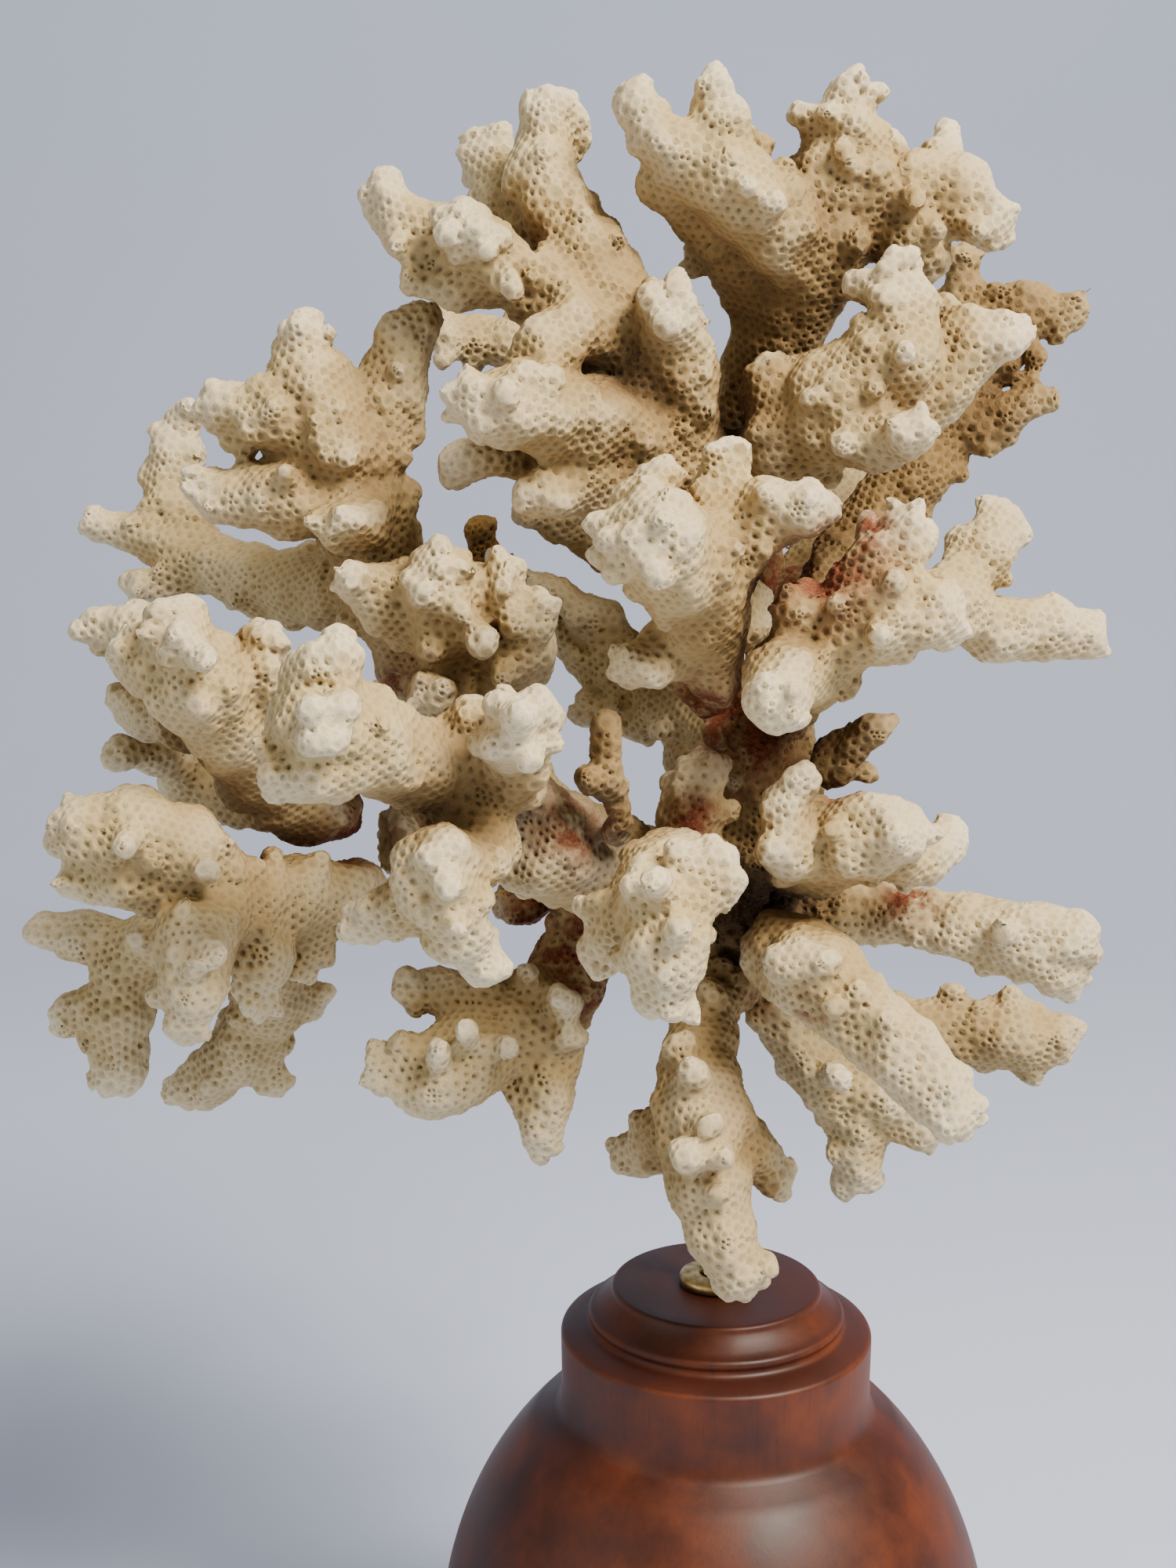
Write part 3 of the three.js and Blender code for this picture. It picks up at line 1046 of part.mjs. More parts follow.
function sawDisc({ centre, normal, radius }) {
  const disc = new THREE.CylinderGeometry(radius, radius, SAW_CUT, 14);
  const turn = new THREE.Quaternion();
  turn.setFromUnitVectors(new THREE.Vector3(0, 1, 0), new THREE.Vector3(...normal));
  return solidOf(disc.applyQuaternion(turn).translate(...centre));
}

// Marks every point that lies on a face left by a cut: one number for each face.
function cutMarks(positions, necks) {
  const marks = new Int32Array(positions.length / 3);
  for (let v = 0; v < marks.length; v += 1) {
    const p = positions.slice(v * 3, v * 3 + 3);
    necks.forEach(({ normal, centre, radius }, c) => {
      const away = p.map((value, k) => value - centre[k]);
      const height = dot(away, normal);
      const onFace = Math.abs(Math.abs(height) - SAW_CUT / 2) < 2e-3;
      if (onFace && length3(...away) < radius + 1) marks[v] = 2 * c + (height > 0 ? 2 : 1);
    });
  }
  return marks;
}

// Cuts the coral at its forks, thins it and gives every piece the name of its branch.
function coralPieces() {
  const shapes = branchShapes();
  const byName = new Map(shapes.map((shape) => [shape.name, shape]));
  const carried = shapes.filter((shape) => shape.from);
  for (const shape of carried) shape.neck = neckOf(shape, byName.get(shape.from));
  const necks = carried.map((shape) => shape.neck);
  const raw = surface(coralField(shapes));
  let coral = solidFromMesh(raw.positions, raw.triangles);
  for (const neck of necks) coral = coral.subtract(sawDisc(neck));
  const kept = coral.decompose().filter((piece) => piece.volume() > CRUMB);
  const mesh = { positions: [], triangles: [] };
  for (const piece of kept) {
    const { numProp, vertProperties, triVerts } = piece.getMesh();
    const first = mesh.positions.length / 3;
    for (let i = 0; i < vertProperties.length; i += numProp) {
      mesh.positions.push(vertProperties[i], vertProperties[i + 1], vertProperties[i + 2]);
    }
    for (const v of triVerts) mesh.triangles.push(first + v);
  }
  const thinned = thin(mesh, cutMarks(mesh.positions, necks), CORAL_TRIANGLES);
  const bore = solidOf(rodShape(ROD_RADIUS + GAP, STAND_HEIGHT, ROD_TOP + GAP));
  coral = solidFromMesh(thinned.at.flat(), thinned.faces.flat()).subtract(bore);
  return nameByBranch(coral.decompose(), shapes);
}

function nameByBranch(pieces, shapes) {
  const byBranch = new Map();
  for (const piece of pieces) {
    const mesh = piece.getMesh();
    const votes = new Map();
    for (let i = 0; i < mesh.vertProperties.length; i += mesh.numProp) {
      const [x, y, z] = mesh.vertProperties.slice(i, i + 3);
      const reach = shapes.map((shape) => Math.min(...shape.parts.map((p) => coneDistance(p, x, y, z))));
      const owner = shapes[reach.indexOf(Math.min(...reach))].name;
      votes.set(owner, (votes.get(owner) ?? 0) + 1);
    }
    const [name] = [...votes].sort((a, b) => b[1] - a[1])[0];
    const larger = !byBranch.has(name) || byBranch.get(name).volume() < piece.volume();
    if (larger) byBranch.set(name, piece);
  }
  return byBranch;
}

function standProfile() {
  const profile = [[0, 0], [FOOT_RADIUS - 0.8, 0], [FOOT_RADIUS, 0.8], [FOOT_RADIUS, FOOT_HEIGHT]];
  const globe = (z) => {
    const half = z < BODY_MIDDLE ? BODY_DROP : BODY_RISE;
    return BODY_RADIUS * Math.sqrt(1 - ((z - BODY_MIDDLE) / half) ** 2);
  };
  for (const z of [9, 20, 32, 44, 56, 66, 74, NECK_BOTTOM]) profile.push([globe(z), z]);
  profile.push([NECK_RADIUS + 0.1, NECK_BOTTOM + 0.6]);
  profile.push([NECK_RADIUS, COLLAR_EDGE - 0.8]);
  profile.push([NECK_RADIUS - 0.4, COLLAR_EDGE + 0.3]);
  profile.push([BEAD_RADIUS + 1, COLLAR_EDGE + 0.9]);
  profile.push([BEAD_RADIUS - 0.3, COLLAR_EDGE + 1.8]);
  profile.push([BEAD_RADIUS, BEAD_HEIGHT]);
  profile.push([DISC_RADIUS + 1.6, BEAD_HEIGHT + 0.9]);
  profile.push([DISC_RADIUS + 0.1, STAND_HEIGHT - 1.6]);
  profile.push([DISC_RADIUS - 0.5, STAND_HEIGHT]);
  profile.push([ROD_RADIUS + GAP, STAND_HEIGHT]);
  profile.push([ROD_RADIUS + GAP, STAND_HEIGHT - ROD_SINK]);
  profile.push([0, STAND_HEIGHT - ROD_SINK]);
  return profile;
}

function rosetteProfile() {
  const z = STAND_HEIGHT + GAP;
  const [r, hole, h] = [ROSETTE_RADIUS, ROSETTE_HOLE, ROSETTE_HEIGHT];
  return [[hole, z], [r, z], [r - 0.2, z + h * 0.55], [r - 1.2, z + h], [hole + 0.6, z + h * 0.9],
    [hole, z + h * 0.5], [hole, z]];
}

function named(name, geometry, colour, roughness, metalness) {
  const material = new THREE.MeshStandardMaterial({ color: colour, roughness, metalness });
  const mesh = new THREE.Mesh(geometry, material);
  mesh.name = name;
  return mesh;
}

const object = new THREE.Group();
object.name = "branching_coral";
object.add(named("stand", upright(standProfile(), STAND_SIDES), 0x6e3d26, 0.45, 0));
object.add(named("rosette", upright(rosetteProfile(), 16), 0xb8a06a, 0.4, 1));
const rodBottom = STAND_HEIGHT - ROD_SINK + GAP;
object.add(named("rod", rodShape(ROD_RADIUS, rodBottom, ROD_TOP), 0x6a6660, 0.4, 1));
for (const [name, piece] of coralPieces()) {
  object.add(named(`coral_${name}`, geometryOf(piece), CORAL_COLOUR, 0.9, 0));
}

export default object;
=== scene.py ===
# %% [markdown]
# A dried branching coral on a turned wooden stand. The coral is one grown skeleton of aragonite,
# all over small cups. A thin steel rod holds it above the stand, and comes up through a little
# brass rosette. The CAD frame already holds every piece at its real place and size, in metres.
# Here each one gets its fine form and its finish.

# %% Start from the frame
import math

import bpy
import numpy as np
import openvdb
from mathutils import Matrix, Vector
from mathutils.bvhtree import BVHTree


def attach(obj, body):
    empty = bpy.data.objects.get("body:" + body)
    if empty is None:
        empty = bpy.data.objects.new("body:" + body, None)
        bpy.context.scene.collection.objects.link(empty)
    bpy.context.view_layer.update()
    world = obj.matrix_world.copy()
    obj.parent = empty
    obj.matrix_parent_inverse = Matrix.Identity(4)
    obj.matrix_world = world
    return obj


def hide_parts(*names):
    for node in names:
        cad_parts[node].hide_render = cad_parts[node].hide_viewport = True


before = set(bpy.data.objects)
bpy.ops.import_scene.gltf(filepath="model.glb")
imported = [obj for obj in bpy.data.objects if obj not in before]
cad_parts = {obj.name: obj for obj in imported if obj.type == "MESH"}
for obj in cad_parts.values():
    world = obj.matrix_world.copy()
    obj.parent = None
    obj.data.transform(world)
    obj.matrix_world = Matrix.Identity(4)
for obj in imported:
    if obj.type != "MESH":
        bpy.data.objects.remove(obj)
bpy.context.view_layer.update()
MM = 0.001
print("nodes in the frame:", len(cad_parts))

# %% [markdown]
# The photograph was taken from a little above the coral, about 28 cm in front of it. A camera could
# be moved about by eye until the picture fits, but the ovals of the stand's rings already give the
# lens and the tilt in numbers. The sensor's width is the picture's long side.

# %% Camera
CAMERA_PLACE = Vector((-19.4, -282.3, 226.4)) * MM
CAMERA_TILT = math.radians(10)  # below the horizon
FOCAL_PX = 2526
PICTURE_PX = (1500, 2000)
SENSOR = 36  # mm

camera_data = bpy.data.cameras.new("camera")
camera_data.sensor_width = SENSOR
camera_data.lens = FOCAL_PX * SENSOR / max(PICTURE_PX)
camera_data.clip_start = 0.01
camera = bpy.data.objects.new("camera", camera_data)
camera.location = CAMERA_PLACE
camera.rotation_euler = (math.pi / 2 - CAMERA_TILT, 0, 0)
bpy.context.scene.collection.objects.link(camera)
bpy.context.scene.camera = camera
print("lens", round(camera_data.lens, 2), "mm")

# %% [markdown]
# Colours are written as the sRGB hex values that the eye would pick. Shaders work in linear light,
# so one function turns them over. A second small one adds a node with its settings and its links,
# and every material below is built with it.

# %% Helpers for materials
def linear(hex_colour):
    """An sRGB hex colour as linear light, with full alpha."""
    channels = [int(hex_colour[i:i + 2], 16) / 255 for i in (1, 3, 5)]
    lin = [c / 12.92 if c <= 0.04045 else ((c + 0.055) / 1.055) ** 2.4 for c in channels]
    return (*lin, 1.0)


def node(tree, kind, settings=None, **inputs):
    """Adds a shader node with its settings and links.

    An input is called by its name, or by the letter i and its number. It takes a value, a hex
    colour, a node, or a node together with the name or number of one of its outputs.
    """
    made = tree.nodes.new("ShaderNode" + kind)
    for key, value in (settings or {}).items():
        if key == "stops":
            elements = made.color_ramp.elements
            elements.remove(elements[1])
            for number, (place, colour) in enumerate(value):
                element = elements.new(place) if number else elements[0]
                element.position = place
                element.color = linear(colour)
        else:
            setattr(made, key, value)
    for key, value in inputs.items():
        name = int(key[1:]) if key[1:].isdigit() else key.replace("_", " ")
        socket = made.inputs[name]
        source = (value, 0) if isinstance(value, bpy.types.Node) else value
        if isinstance(source, tuple) and isinstance(source[0], bpy.types.Node):
            tree.links.new(source[0].outputs[source[1]], socket)
        else:
            socket.default_value = linear(value) if isinstance(value, str) else value
    return made


def new_material(name):
    """An empty material with its node tree and its output node."""
    material = bpy.data.materials.new(name)
    material.use_nodes = True
    tree = material.node_tree
    tree.nodes.clear()
    return material, tree, node(tree, "OutputMaterial")


print("middle grey #808080 is", round(linear("#808080")[0], 3), "in linear light")

# %% [markdown]
# The coral's limbs grew as tapering fingers that fork again and again, with small knobs all over.
# Each branch below has the one it grows from, its limbs as [x, y, z, radius] along the middle in
# millimetres, and its knobs as [x, y, z] at their tips, with a radius where it isn't the usual one.
# Where they are given, cut is how far along it leaves its carrier, cut_radius how wide that place
# is, and growth how knobbly it is. They are the frame's own routes, so the fine surface lies on the
# solids. A mesh could be sculpted by hand, but a field of distances to these limbs gives the soft
# crotches of a grown thing, and can be sampled as finely as wanted.

# %% Routes of the branches
BRANCHES = {
    "trunk": {
        "from": None,
        "limbs": [
            [[1, 0, 149, 6.5], [4, 0, 159, 7.5], [7, 0, 169, 7.5], [7, 0, 179, 7.5],
             [5, 3, 188, 7.5], [3, 6, 195, 7.5]],
        ],
        "knobs": [
            [-2, -4, 184], [-2, -2, 180], [0, -8, 178, 2], [8, -6, 186, 2], [14, -4, 176, 2],
        ],
    },
    "upper_branch": {
        "from": "trunk",
        "limbs": [
            [[3, 6, 195, 6.5], [-2, 6, 206, 7], [-6, 2, 216, 7.5], [-9, -3, 225, 8],
             [-12, -6, 234, 7.5], [-16, -6, 242, 6.5], [-20, -4, 250, 6], [-26, 0, 261, 5],
             [-25, 2, 269, 4]],
            [[-23, 4, 251, 4.5], [-30, 10, 259, 4.5], [-34, 14, 266, 3.5]],
            [[-9, -3, 225, 8], [-8, -8, 235, 6.5], [-9, -14, 242, 4.5]],
            [[-9, -3, 225, 8], [-20, -14, 228, 6.5], [-29, -22, 230, 5.5], [-32, -24, 230, 4.5]],
            [[-11, -4, 223, 6.5], [-20, -12, 221, 5.5], [-24, -16, 219, 4]],
            [[-15, -4, 223, 5.5], [-27, -8, 224, 4], [-35, -10, 223, 3]],
            [[-15, -8, 240, 5], [-21, -14, 240, 4.5], [-25, -17, 237, 4.5]],
        ],
        "knobs": [
            [-30, 0, 272], [-20, 3, 270], [-25, 1, 272, 3], [-20, 4, 264], [-20, 2, 261],
            [-21, 0, 257], [-30, -2, 259], [-31, 12, 270], [-35, 15, 268], [-37, 15, 262],
            [-12, -2, 250], [-11, -5, 247], [-15, -1, 255], [-18, 6, 259], [-20, -8, 256],
            [-12, -18, 245, 3], [-8, -16, 245, 3], [-10, -20, 240, 3], [-5, -10, 244],
            [-27, -26, 235, 3], [-23, -24, 234, 3], [-35, -26, 233, 3], [-37, -25, 230, 3],
            [-33, -28, 227], [-29, -30, 232], [-40, -11, 223, 3], [-39, -10, 221],
            [-23, -20, 217, 3], [-20, -15, 218], [-28, -16, 217], [-16, -14, 222], [-14, -14, 226],
            [-2, 2, 226], [-5, -2, 238],
        ],
    },
    "upper_left_arm": {
        "from": "upper_branch",
        "cut_radius": 16,
        "limbs": [
            [[-18, -6, 244, 5], [-23, -8, 244, 5.5], [-30, -8, 248, 5.5], [-36, -8, 251, 5.5],
             [-43, -8, 253, 4.5], [-46, -8, 257, 3.5]],
            [[-30, -8, 248, 5.5], [-35, -14, 252, 4.5]],
            [[-30, -8, 248, 5.5], [-37, -10, 246, 3.5], [-41, -10, 246, 2.5]],
        ],
        "knobs": [
            [-47, -8, 259, 3], [-45, -7, 260, 3], [-48, -9, 255], [-46, -9, 253], [-44, -9, 250],
            [-44, -10, 247], [-42, -8, 245], [-40, -16, 255, 3], [-37, -17, 255, 3],
            [-39, -19, 252], [-34, -20, 253], [-30, -16, 252], [-29, -18, 244], [-32, -20, 249],
        ],
    },
    "top_branch": {
        "from": "trunk",
        "limbs": [
            [[3, 10, 195, 6.5], [4, 18, 207, 6], [4, 20, 220, 6.5], [5, 16, 231, 6.5],
             [8, 10, 241, 7], [11, 5, 250, 7.5], [13, 3, 259, 6.5], [16, 2, 267, 5],
             [16, 2, 271, 3.5]],
            [[8, 10, 244, 6.5], [2, 4, 251, 5.5], [-4, 0, 257, 4.5], [-9, -4, 260, 4]],
            [[11, 5, 250, 7], [6, -2, 255, 6.5], [-1, -6, 260, 6], [-2, -6, 267, 4.5],
             [-3, -6, 270, 3.5]],
            [[-1, -6, 260, 6], [-7, -8, 263, 4.5], [-11, -8, 266, 3.5], [-13, -8, 269, 3]],
        ],
        "knobs": [
            [-14, -9, 269], [-11, -7, 270], [-15, -8, 267], [-14, -8, 264], [-10, -10, 268],
            [-5, -6, 271], [-1, -5, 272], [0, -4, 268], [-6, -10, 267], [3, -2, 267], [5, 0, 267],
            [8, 2, 270, 3], [8, -4, 263], [14, 2, 274, 3], [19, 3, 272, 3], [12, -3, 270],
            [17, -4, 268], [15, -6, 264], [6, -12, 256, 3.5], [11, -6, 254], [-6, 6, 252],
            [-6, 8, 249], [-12, -6, 260], [-5, -10, 260], [2, -14, 258], [10, -8, 260],
            [-2, 22, 236, 3], [9, 4, 236],
        ],
    },
    "top_right_arm": {
        "from": "top_branch",
        "cut_radius": 16,
        "limbs": [
            [[13, 5, 253, 6.5], [19, 4, 258, 6.5], [24, 4, 260, 6.5], [31, 4, 260, 5.5],
             [36, 3, 256, 4]],
            [[26, 4, 259, 5], [25, 2, 253, 4.5], [27, 2, 251, 3]],
        ],
        "knobs": [
            [40, 3, 256], [39, 3, 254], [36, 6, 263, 3], [36, 0, 260], [33, -2, 254], [29, -3, 254],
            [28, 0, 253], [26, 1, 250], [22, 0, 250], [23, 14, 269], [25, 14, 269],
            [32, 14, 270, 3], [29, 8, 267], [33, 8, 265], [24, -3, 264], [20, -4, 262],
            [25, -6, 258], [18, -4, 252],
        ],
    },
    "mid_right_lobe": {
        "from": "upper_branch",
        "limbs": [
            [[-3, 4, 216, 6.5], [2, 0, 221, 6.5], [9, -5, 226, 7], [15, -9, 231, 7.5],
             [22, -10, 237, 6.5], [23, -10, 244, 4.5], [22, -10, 247, 3]],
            [[15, -9, 231, 7], [26, -6, 232, 6], [32, -6, 238, 5.5], [36, -8, 239, 4]],
            [[9, -5, 226, 6.5], [6, -4, 232, 5]],
            [[14, -9, 228, 6.5], [19, -14, 226, 4.5], [22, -18, 226, 3.5]],
        ],
        "knobs": [
            [6, -4, 236, 3], [1, -2, 231, 3], [2, -10, 227], [-2, -2, 227], [19, -10, 247],
            [25, -9, 247], [19, -14, 244], [25, -12, 243], [15, -8, 247, 3.5], [15, -12, 243],
            [28, -2, 245, 3], [28, -8, 244], [32, -8, 244], [38, -8, 240], [37, -8, 237],
            [35, -6, 234], [21, -22, 227], [24, -20, 227], [25, -16, 225], [13, -18, 225],
            [9, -16, 231], [17, -16, 239], [22, -19, 237], [13, -12, 236], [9, -8, 222],
            [30, -8, 232], [18, -18, 232],
        ],
    },
    "back_right_branch": {
        "from": "trunk",
        "limbs": [
            [[6, 10, 193, 6], [15, 18, 202, 5], [23, 24, 212, 5], [31, 26, 221, 6],
             [36, 28, 231, 5.5], [42, 30, 240, 5.5], [47, 30, 245, 4.5], [53, 30, 245, 3]],
            [[34, 28, 228, 5.5], [42, 26, 228, 4], [47, 24, 231, 3]],
            [[42, 30, 240, 5.5], [39, 32, 247, 3.5], [38, 32, 251, 2.5]],
        ],
        "knobs": [
            [49, 24, 232], [46, 24, 233], [45, 24, 225], [42, 24, 223], [39, 24, 220],
            [37, 32, 251], [40, 32, 251], [42, 30, 249], [44, 30, 249], [50, 30, 249],
            [57, 30, 246], [57, 30, 242], [53, 28, 240], [50, 26, 237], [46, 26, 235],
            [35, 26, 219], [33, 26, 214], [25, 20, 205], [22, 30, 216], [27, 34, 228, 3],
        ],
    },
    "front_centre_cluster": {
        "from": "trunk",
        "limbs": [
            [[3, -4, 188, 6.5], [-1, -16, 196, 6.5], [-4, -27, 204, 6.5], [-8, -34, 211, 7],
             [-11, -40, 214, 6.5]],
            [[-4, -27, 204, 6.5], [-1, -28, 213, 6.5], [-2, -26, 220, 4], [-2, -26, 223, 2.5]],
            [[-1, -28, 212, 6.5], [3, -30, 216, 5], [7, -32, 217, 4]],
            [[-2, -18, 198, 6], [-8, -24, 199, 4.5], [-12, -28, 197, 3.5]],
            [[-8, -34, 211, 6.5], [-12, -34, 217, 5], [-11, -34, 220, 3]],
        ],
        "knobs": [
            [-2, -26, 224], [7, -34, 219, 3], [8, -32, 215, 3], [2, -36, 220], [-13, -38, 217, 3],
            [-10, -36, 219, 3], [-12, -34, 221], [-13, -46, 212, 4.5], [-7, -44, 211, 4],
            [-11, -46, 209, 3.5], [-8, -46, 214, 3.5], [-20, -38, 216, 3], [-17, -34, 218, 3],
            [-20, -38, 211, 3], [-17, -42, 209, 3], [-18, -44, 214, 3], [-15, -46, 215, 3],
            [-14, -28, 197], [-13, -28, 196], [-7, -14, 191, 3], [-10, -14, 192], [-5, -38, 217],
            [0, -38, 213], [-2, -38, 209], [-4, -32, 201], [-15, -36, 206],
        ],
    },
    "front_right_arm": {
        "from": "trunk",
        "limbs": [
            [[6, -6, 190, 6.5], [9, -18, 196, 6.5], [12, -26, 201, 6.5], [18, -29, 204, 6.5],
             [24, -30, 204, 4.5]],
            [[10, -22, 197, 6], [5, -34, 196, 5], [4, -38, 194, 4.5]],
            [[15, -28, 203, 6], [18, -28, 210, 5], [21, -28, 213, 4]],
            [[10, -22, 199, 5.5], [8, -28, 203, 4]],
        ],
        "knobs": [
            [19, -28, 215, 3], [21, -30, 215, 3], [23, -30, 214, 3], [24, -34, 207, 3],
            [27, -30, 202, 3], [27, -28, 199], [23, -34, 201], [2, -42, 193, 3], [5, -42, 194, 3],
            [2, -42, 197], [7, -32, 205], [11, -34, 206], [14, -34, 207], [14, -28, 195],
            [19, -36, 209], [16, -38, 201], [5, -32, 199],
        ],
    },
    "right_fork": {
        "from": "front_right_arm",
        "limbs": [
            [[23, -22, 205, 5], [30, -14, 204, 4.5], [37, -10, 200, 4.5], [44, -8, 200, 4.5],
             [49, -7, 199, 4]],
            [[29, -14, 204, 4.5], [34, -10, 210, 4.5], [37, -8, 214, 3.5]],
        ],
        "knobs": [
            [50, -7, 200], [50, -7, 197], [40, -8, 215], [39, -6, 215], [35, -8, 217],
            [34, -12, 214], [41, -8, 212], [45, -10, 203], [41, -6, 203], [32, -14, 201, 3],
            [41, -8, 196], [47, -8, 196], [39, -8, 209],
        ],
    },
    "right_lobe": {
        "from": "trunk",
        "limbs": [
            [[9, -6, 163, 5], [12, -16, 169, 5.5], [16, -22, 173, 6], [20, -24, 174, 5.5]],
            [[12, -16, 169, 5], [7, -24, 172, 4], [7, -24, 178, 3.5], [8, -24, 180, 2.5]],
            [[19, -20, 172, 5], [26, -14, 169, 4.5], [30, -12, 170, 3.5]],
        ],
        "knobs": [
            [3, -28, 172, 3.5], [5, -24, 169, 3], [17, -26, 179, 3.5], [19, -28, 178],
            [22, -26, 176], [8, -24, 181], [5, -26, 178], [31, -12, 173], [32, -12, 169],
            [29, -12, 173], [21, -30, 175], [25, -14, 166], [15, -26, 169], [12, -28, 176],
        ],
    },
    "small_fork": {
        "from": "trunk",
        "cut": 4,
        "cut_radius": 8,
        "limbs": [
            [[10, -2, 179, 4.5], [14, -8, 181, 4], [17, -10, 184, 3], [19, -11, 186, 2]],
            [[13, -7, 181, 4], [14, -8, 185, 2.5], [15, -8, 187, 2]],
        ],
        "knobs": [[19, -11, 186, 2], [16, -10, 180], [11, -8, 184]],
    },
    "right_finger": {
        "from": "trunk",
        "limbs": [
            [[9, 2, 159, 6], [19, 3, 157, 5], [27, 1, 157, 4.5], [34, -2, 156, 5],
             [43, -5, 155, 5.5], [48, -7, 155, 5]],
            [[42, -5, 155, 5.5], [48, -6, 151, 4.5]],
        ],
        "knobs": [
            [52, -8, 159, 3], [52, -8, 155, 3], [49, -6, 149, 3], [28, -4, 154], [34, -4, 152, 3],
            [38, -4, 149, 3], [42, -6, 149], [44, -8, 159], [37, -6, 159], [31, -2, 161],
            [38, -13, 158],
        ],
    },
    "right_back_finger": {
        "from": "trunk",
        "limbs": [
            [[8, 8, 152, 5.5], [17, 16, 143, 4.5], [28, 20, 135, 4.5], [39, 21, 133, 5],
             [48, 20, 133, 6], [53, 20, 132, 5]],
        ],
        "knobs": [
            [30, 20, 140], [39, 20, 141, 3], [42, 18, 140], [47, 20, 141, 3], [52, 20, 138, 3],
            [58, 20, 131, 3], [57, 20, 128, 3], [51, 20, 125, 3], [44, 20, 126], [37, 20, 129],
            [57, 20, 135],
        ],
    },
    "lower_right_arm": {
        "from": "trunk",
        "limbs": [
            [[6, -4, 156, 6.5], [8, -16, 156, 6.5], [11, -24, 155, 6.5], [16, -27, 151, 5.5],
             [22, -30, 146, 5.5], [26, -33, 142, 5], [28, -34, 139, 4.2]],
        ],
        "knobs": [
            [5, -30, 158, 4.5], [8, -30, 160, 4], [12, -32, 159, 3.5], [16, -32, 156, 3],
            [20, -34, 152], [31, -34, 144, 3], [32, -34, 141, 3], [30, -34, 137, 3],
            [27, -32, 136], [24, -30, 137], [22, -24, 142], [20, -26, 155], [12, -34, 153],
            [25, -34, 148],
        ],
    },
    "lower_right_fork": {
        "from": "trunk",
        "limbs": [
            [[6, 6, 150, 5.5], [10, 9, 140, 5], [17, 8, 130, 5.4], [22, 8, 123, 4.8],
             [22, 8, 115, 3.8]],
            [[18, 8, 129, 5.5], [26, 6, 127, 4.5], [31, 6, 122, 3.5]],
        ],
        "knobs": [
            [19, 8, 111], [21, 6, 113], [26, 8, 112, 3], [33, 6, 120], [29, 4, 121],
            [18, -2, 133, 3], [14, 4, 132], [16, 6, 123], [17, 6, 118], [26, 8, 120], [10, 4, 146],
            [14, 12, 134],
        ],
    },
    "down_arm": {
        "from": "trunk",
        "limbs": [
            [[1, -2, 150, 5], [-2, -7, 145, 4.5], [-4, -14, 139, 6], [-4, -20, 133, 6.5],
             [-3, -22, 125, 6], [-1, -24, 118, 5], [1, -25, 113, 4]],
            [[-2, -18, 133, 6], [3, -16, 127, 4.5], [7, -16, 123, 2.5]],
            [[-4, -16, 132, 5.5], [-9, -8, 125, 4.5], [-12, -5, 122, 3]],
        ],
        "knobs": [
            [-2, -12, 150, 3.5], [-7, -20, 144, 4], [-6, -26, 143, 3.5], [7, -16, 122],
            [-15, -5, 125], [-11, -5, 120], [-13, -8, 129], [-9, -14, 132], [-7, -34, 132, 3.5],
            [-3, -32, 136, 3], [-1, -32, 132, 3], [6, -25, 115], [1, -26, 110], [3, -26, 111],
            [-3, -28, 115], [-5, -20, 116, 3], [-5, -24, 122], [-1, -32, 126], [2, -26, 120],
        ],
    },
    "front_bottom_arm": {
        "from": "trunk",
        "limbs": [
            [[0, -6, 162, 5], [-6, -20, 168, 5.5], [-9, -34, 171, 6], [-10, -45, 170, 6],
             [-10, -48, 165, 5.5], [-10, -47, 159, 4]],
            [[-10, -45, 170, 5.5], [-5, -46, 173, 4.5]],
            [[-10, -40, 171, 5.5], [-15, -38, 166, 4.5], [-18, -36, 161, 3]],
            [[-6, -20, 168, 4.5], [-6, -22, 176, 4.5], [-5, -22, 181, 3.5]],
        ],
        "knobs": [
            [-13, -46, 176, 3.5], [-10, -48, 178, 3.5], [-7, -46, 177, 3], [-3, -48, 177],
            [-2, -46, 175], [-3, -46, 170], [-4, -46, 166], [-21, -38, 168], [-19, -36, 163],
            [-16, -38, 162], [-14, -42, 159], [-9, -47, 156], [-12, -46, 157], [-7, -50, 164, 3],
            [-7, -24, 183], [-3, -22, 182], [-1, -22, 181], [1, -22, 177], [-2, -24, 176],
            [-9, -26, 180], [-16, -34, 175], [-15, -50, 173], [-8, -56, 170], [-11, -54, 163],
            [-12, -56, 175],
        ],
    },
    "front_left_arm": {
        "from": "trunk",
        "limbs": [
            [[2, -2, 160, 6.5], [-8, -8, 163, 7], [-18, -14, 168, 7.8], [-26, -22, 173, 7.8],
             [-34, -30, 180, 7], [-41, -38, 186, 6], [-47, -46, 190, 6.5], [-51, -50, 193, 6.5],
             [-51, -50, 198, 5]],
            [[-31, -26, 178, 6.5], [-30, -35, 185, 5.5], [-28, -42, 190, 4.8]],
            [[-47, -46, 190, 6.5], [-52, -50, 188, 5.5], [-54, -50, 187, 4]],
            [[-31, -28, 178, 5.5], [-33, -36, 187, 4.5]],
        ],
        "knobs": [
            [-47, -52, 202, 3.5], [-49, -54, 200, 3], [-51, -50, 200], [-45, -44, 195, 3.5],
            [-41, -40, 191, 3], [-35, -34, 194, 3], [-31, -48, 196, 3.5], [-25, -48, 196, 3.5],
            [-27, -54, 195, 3], [-31, -50, 190, 3], [-24, -46, 190, 3], [-26, -50, 188, 3],
            [-54, -50, 184], [-51, -50, 184], [-49, -48, 183], [-46, -46, 184], [-57, -50, 189, 3],
            [-56, -54, 193, 3], [-54, -54, 197, 3], [-51, -60, 196, 3], [-47, -58, 196, 3],
            [-48, -60, 192, 3], [-51, -60, 192, 3], [-46, -52, 198, 3], [-58, -48, 186],
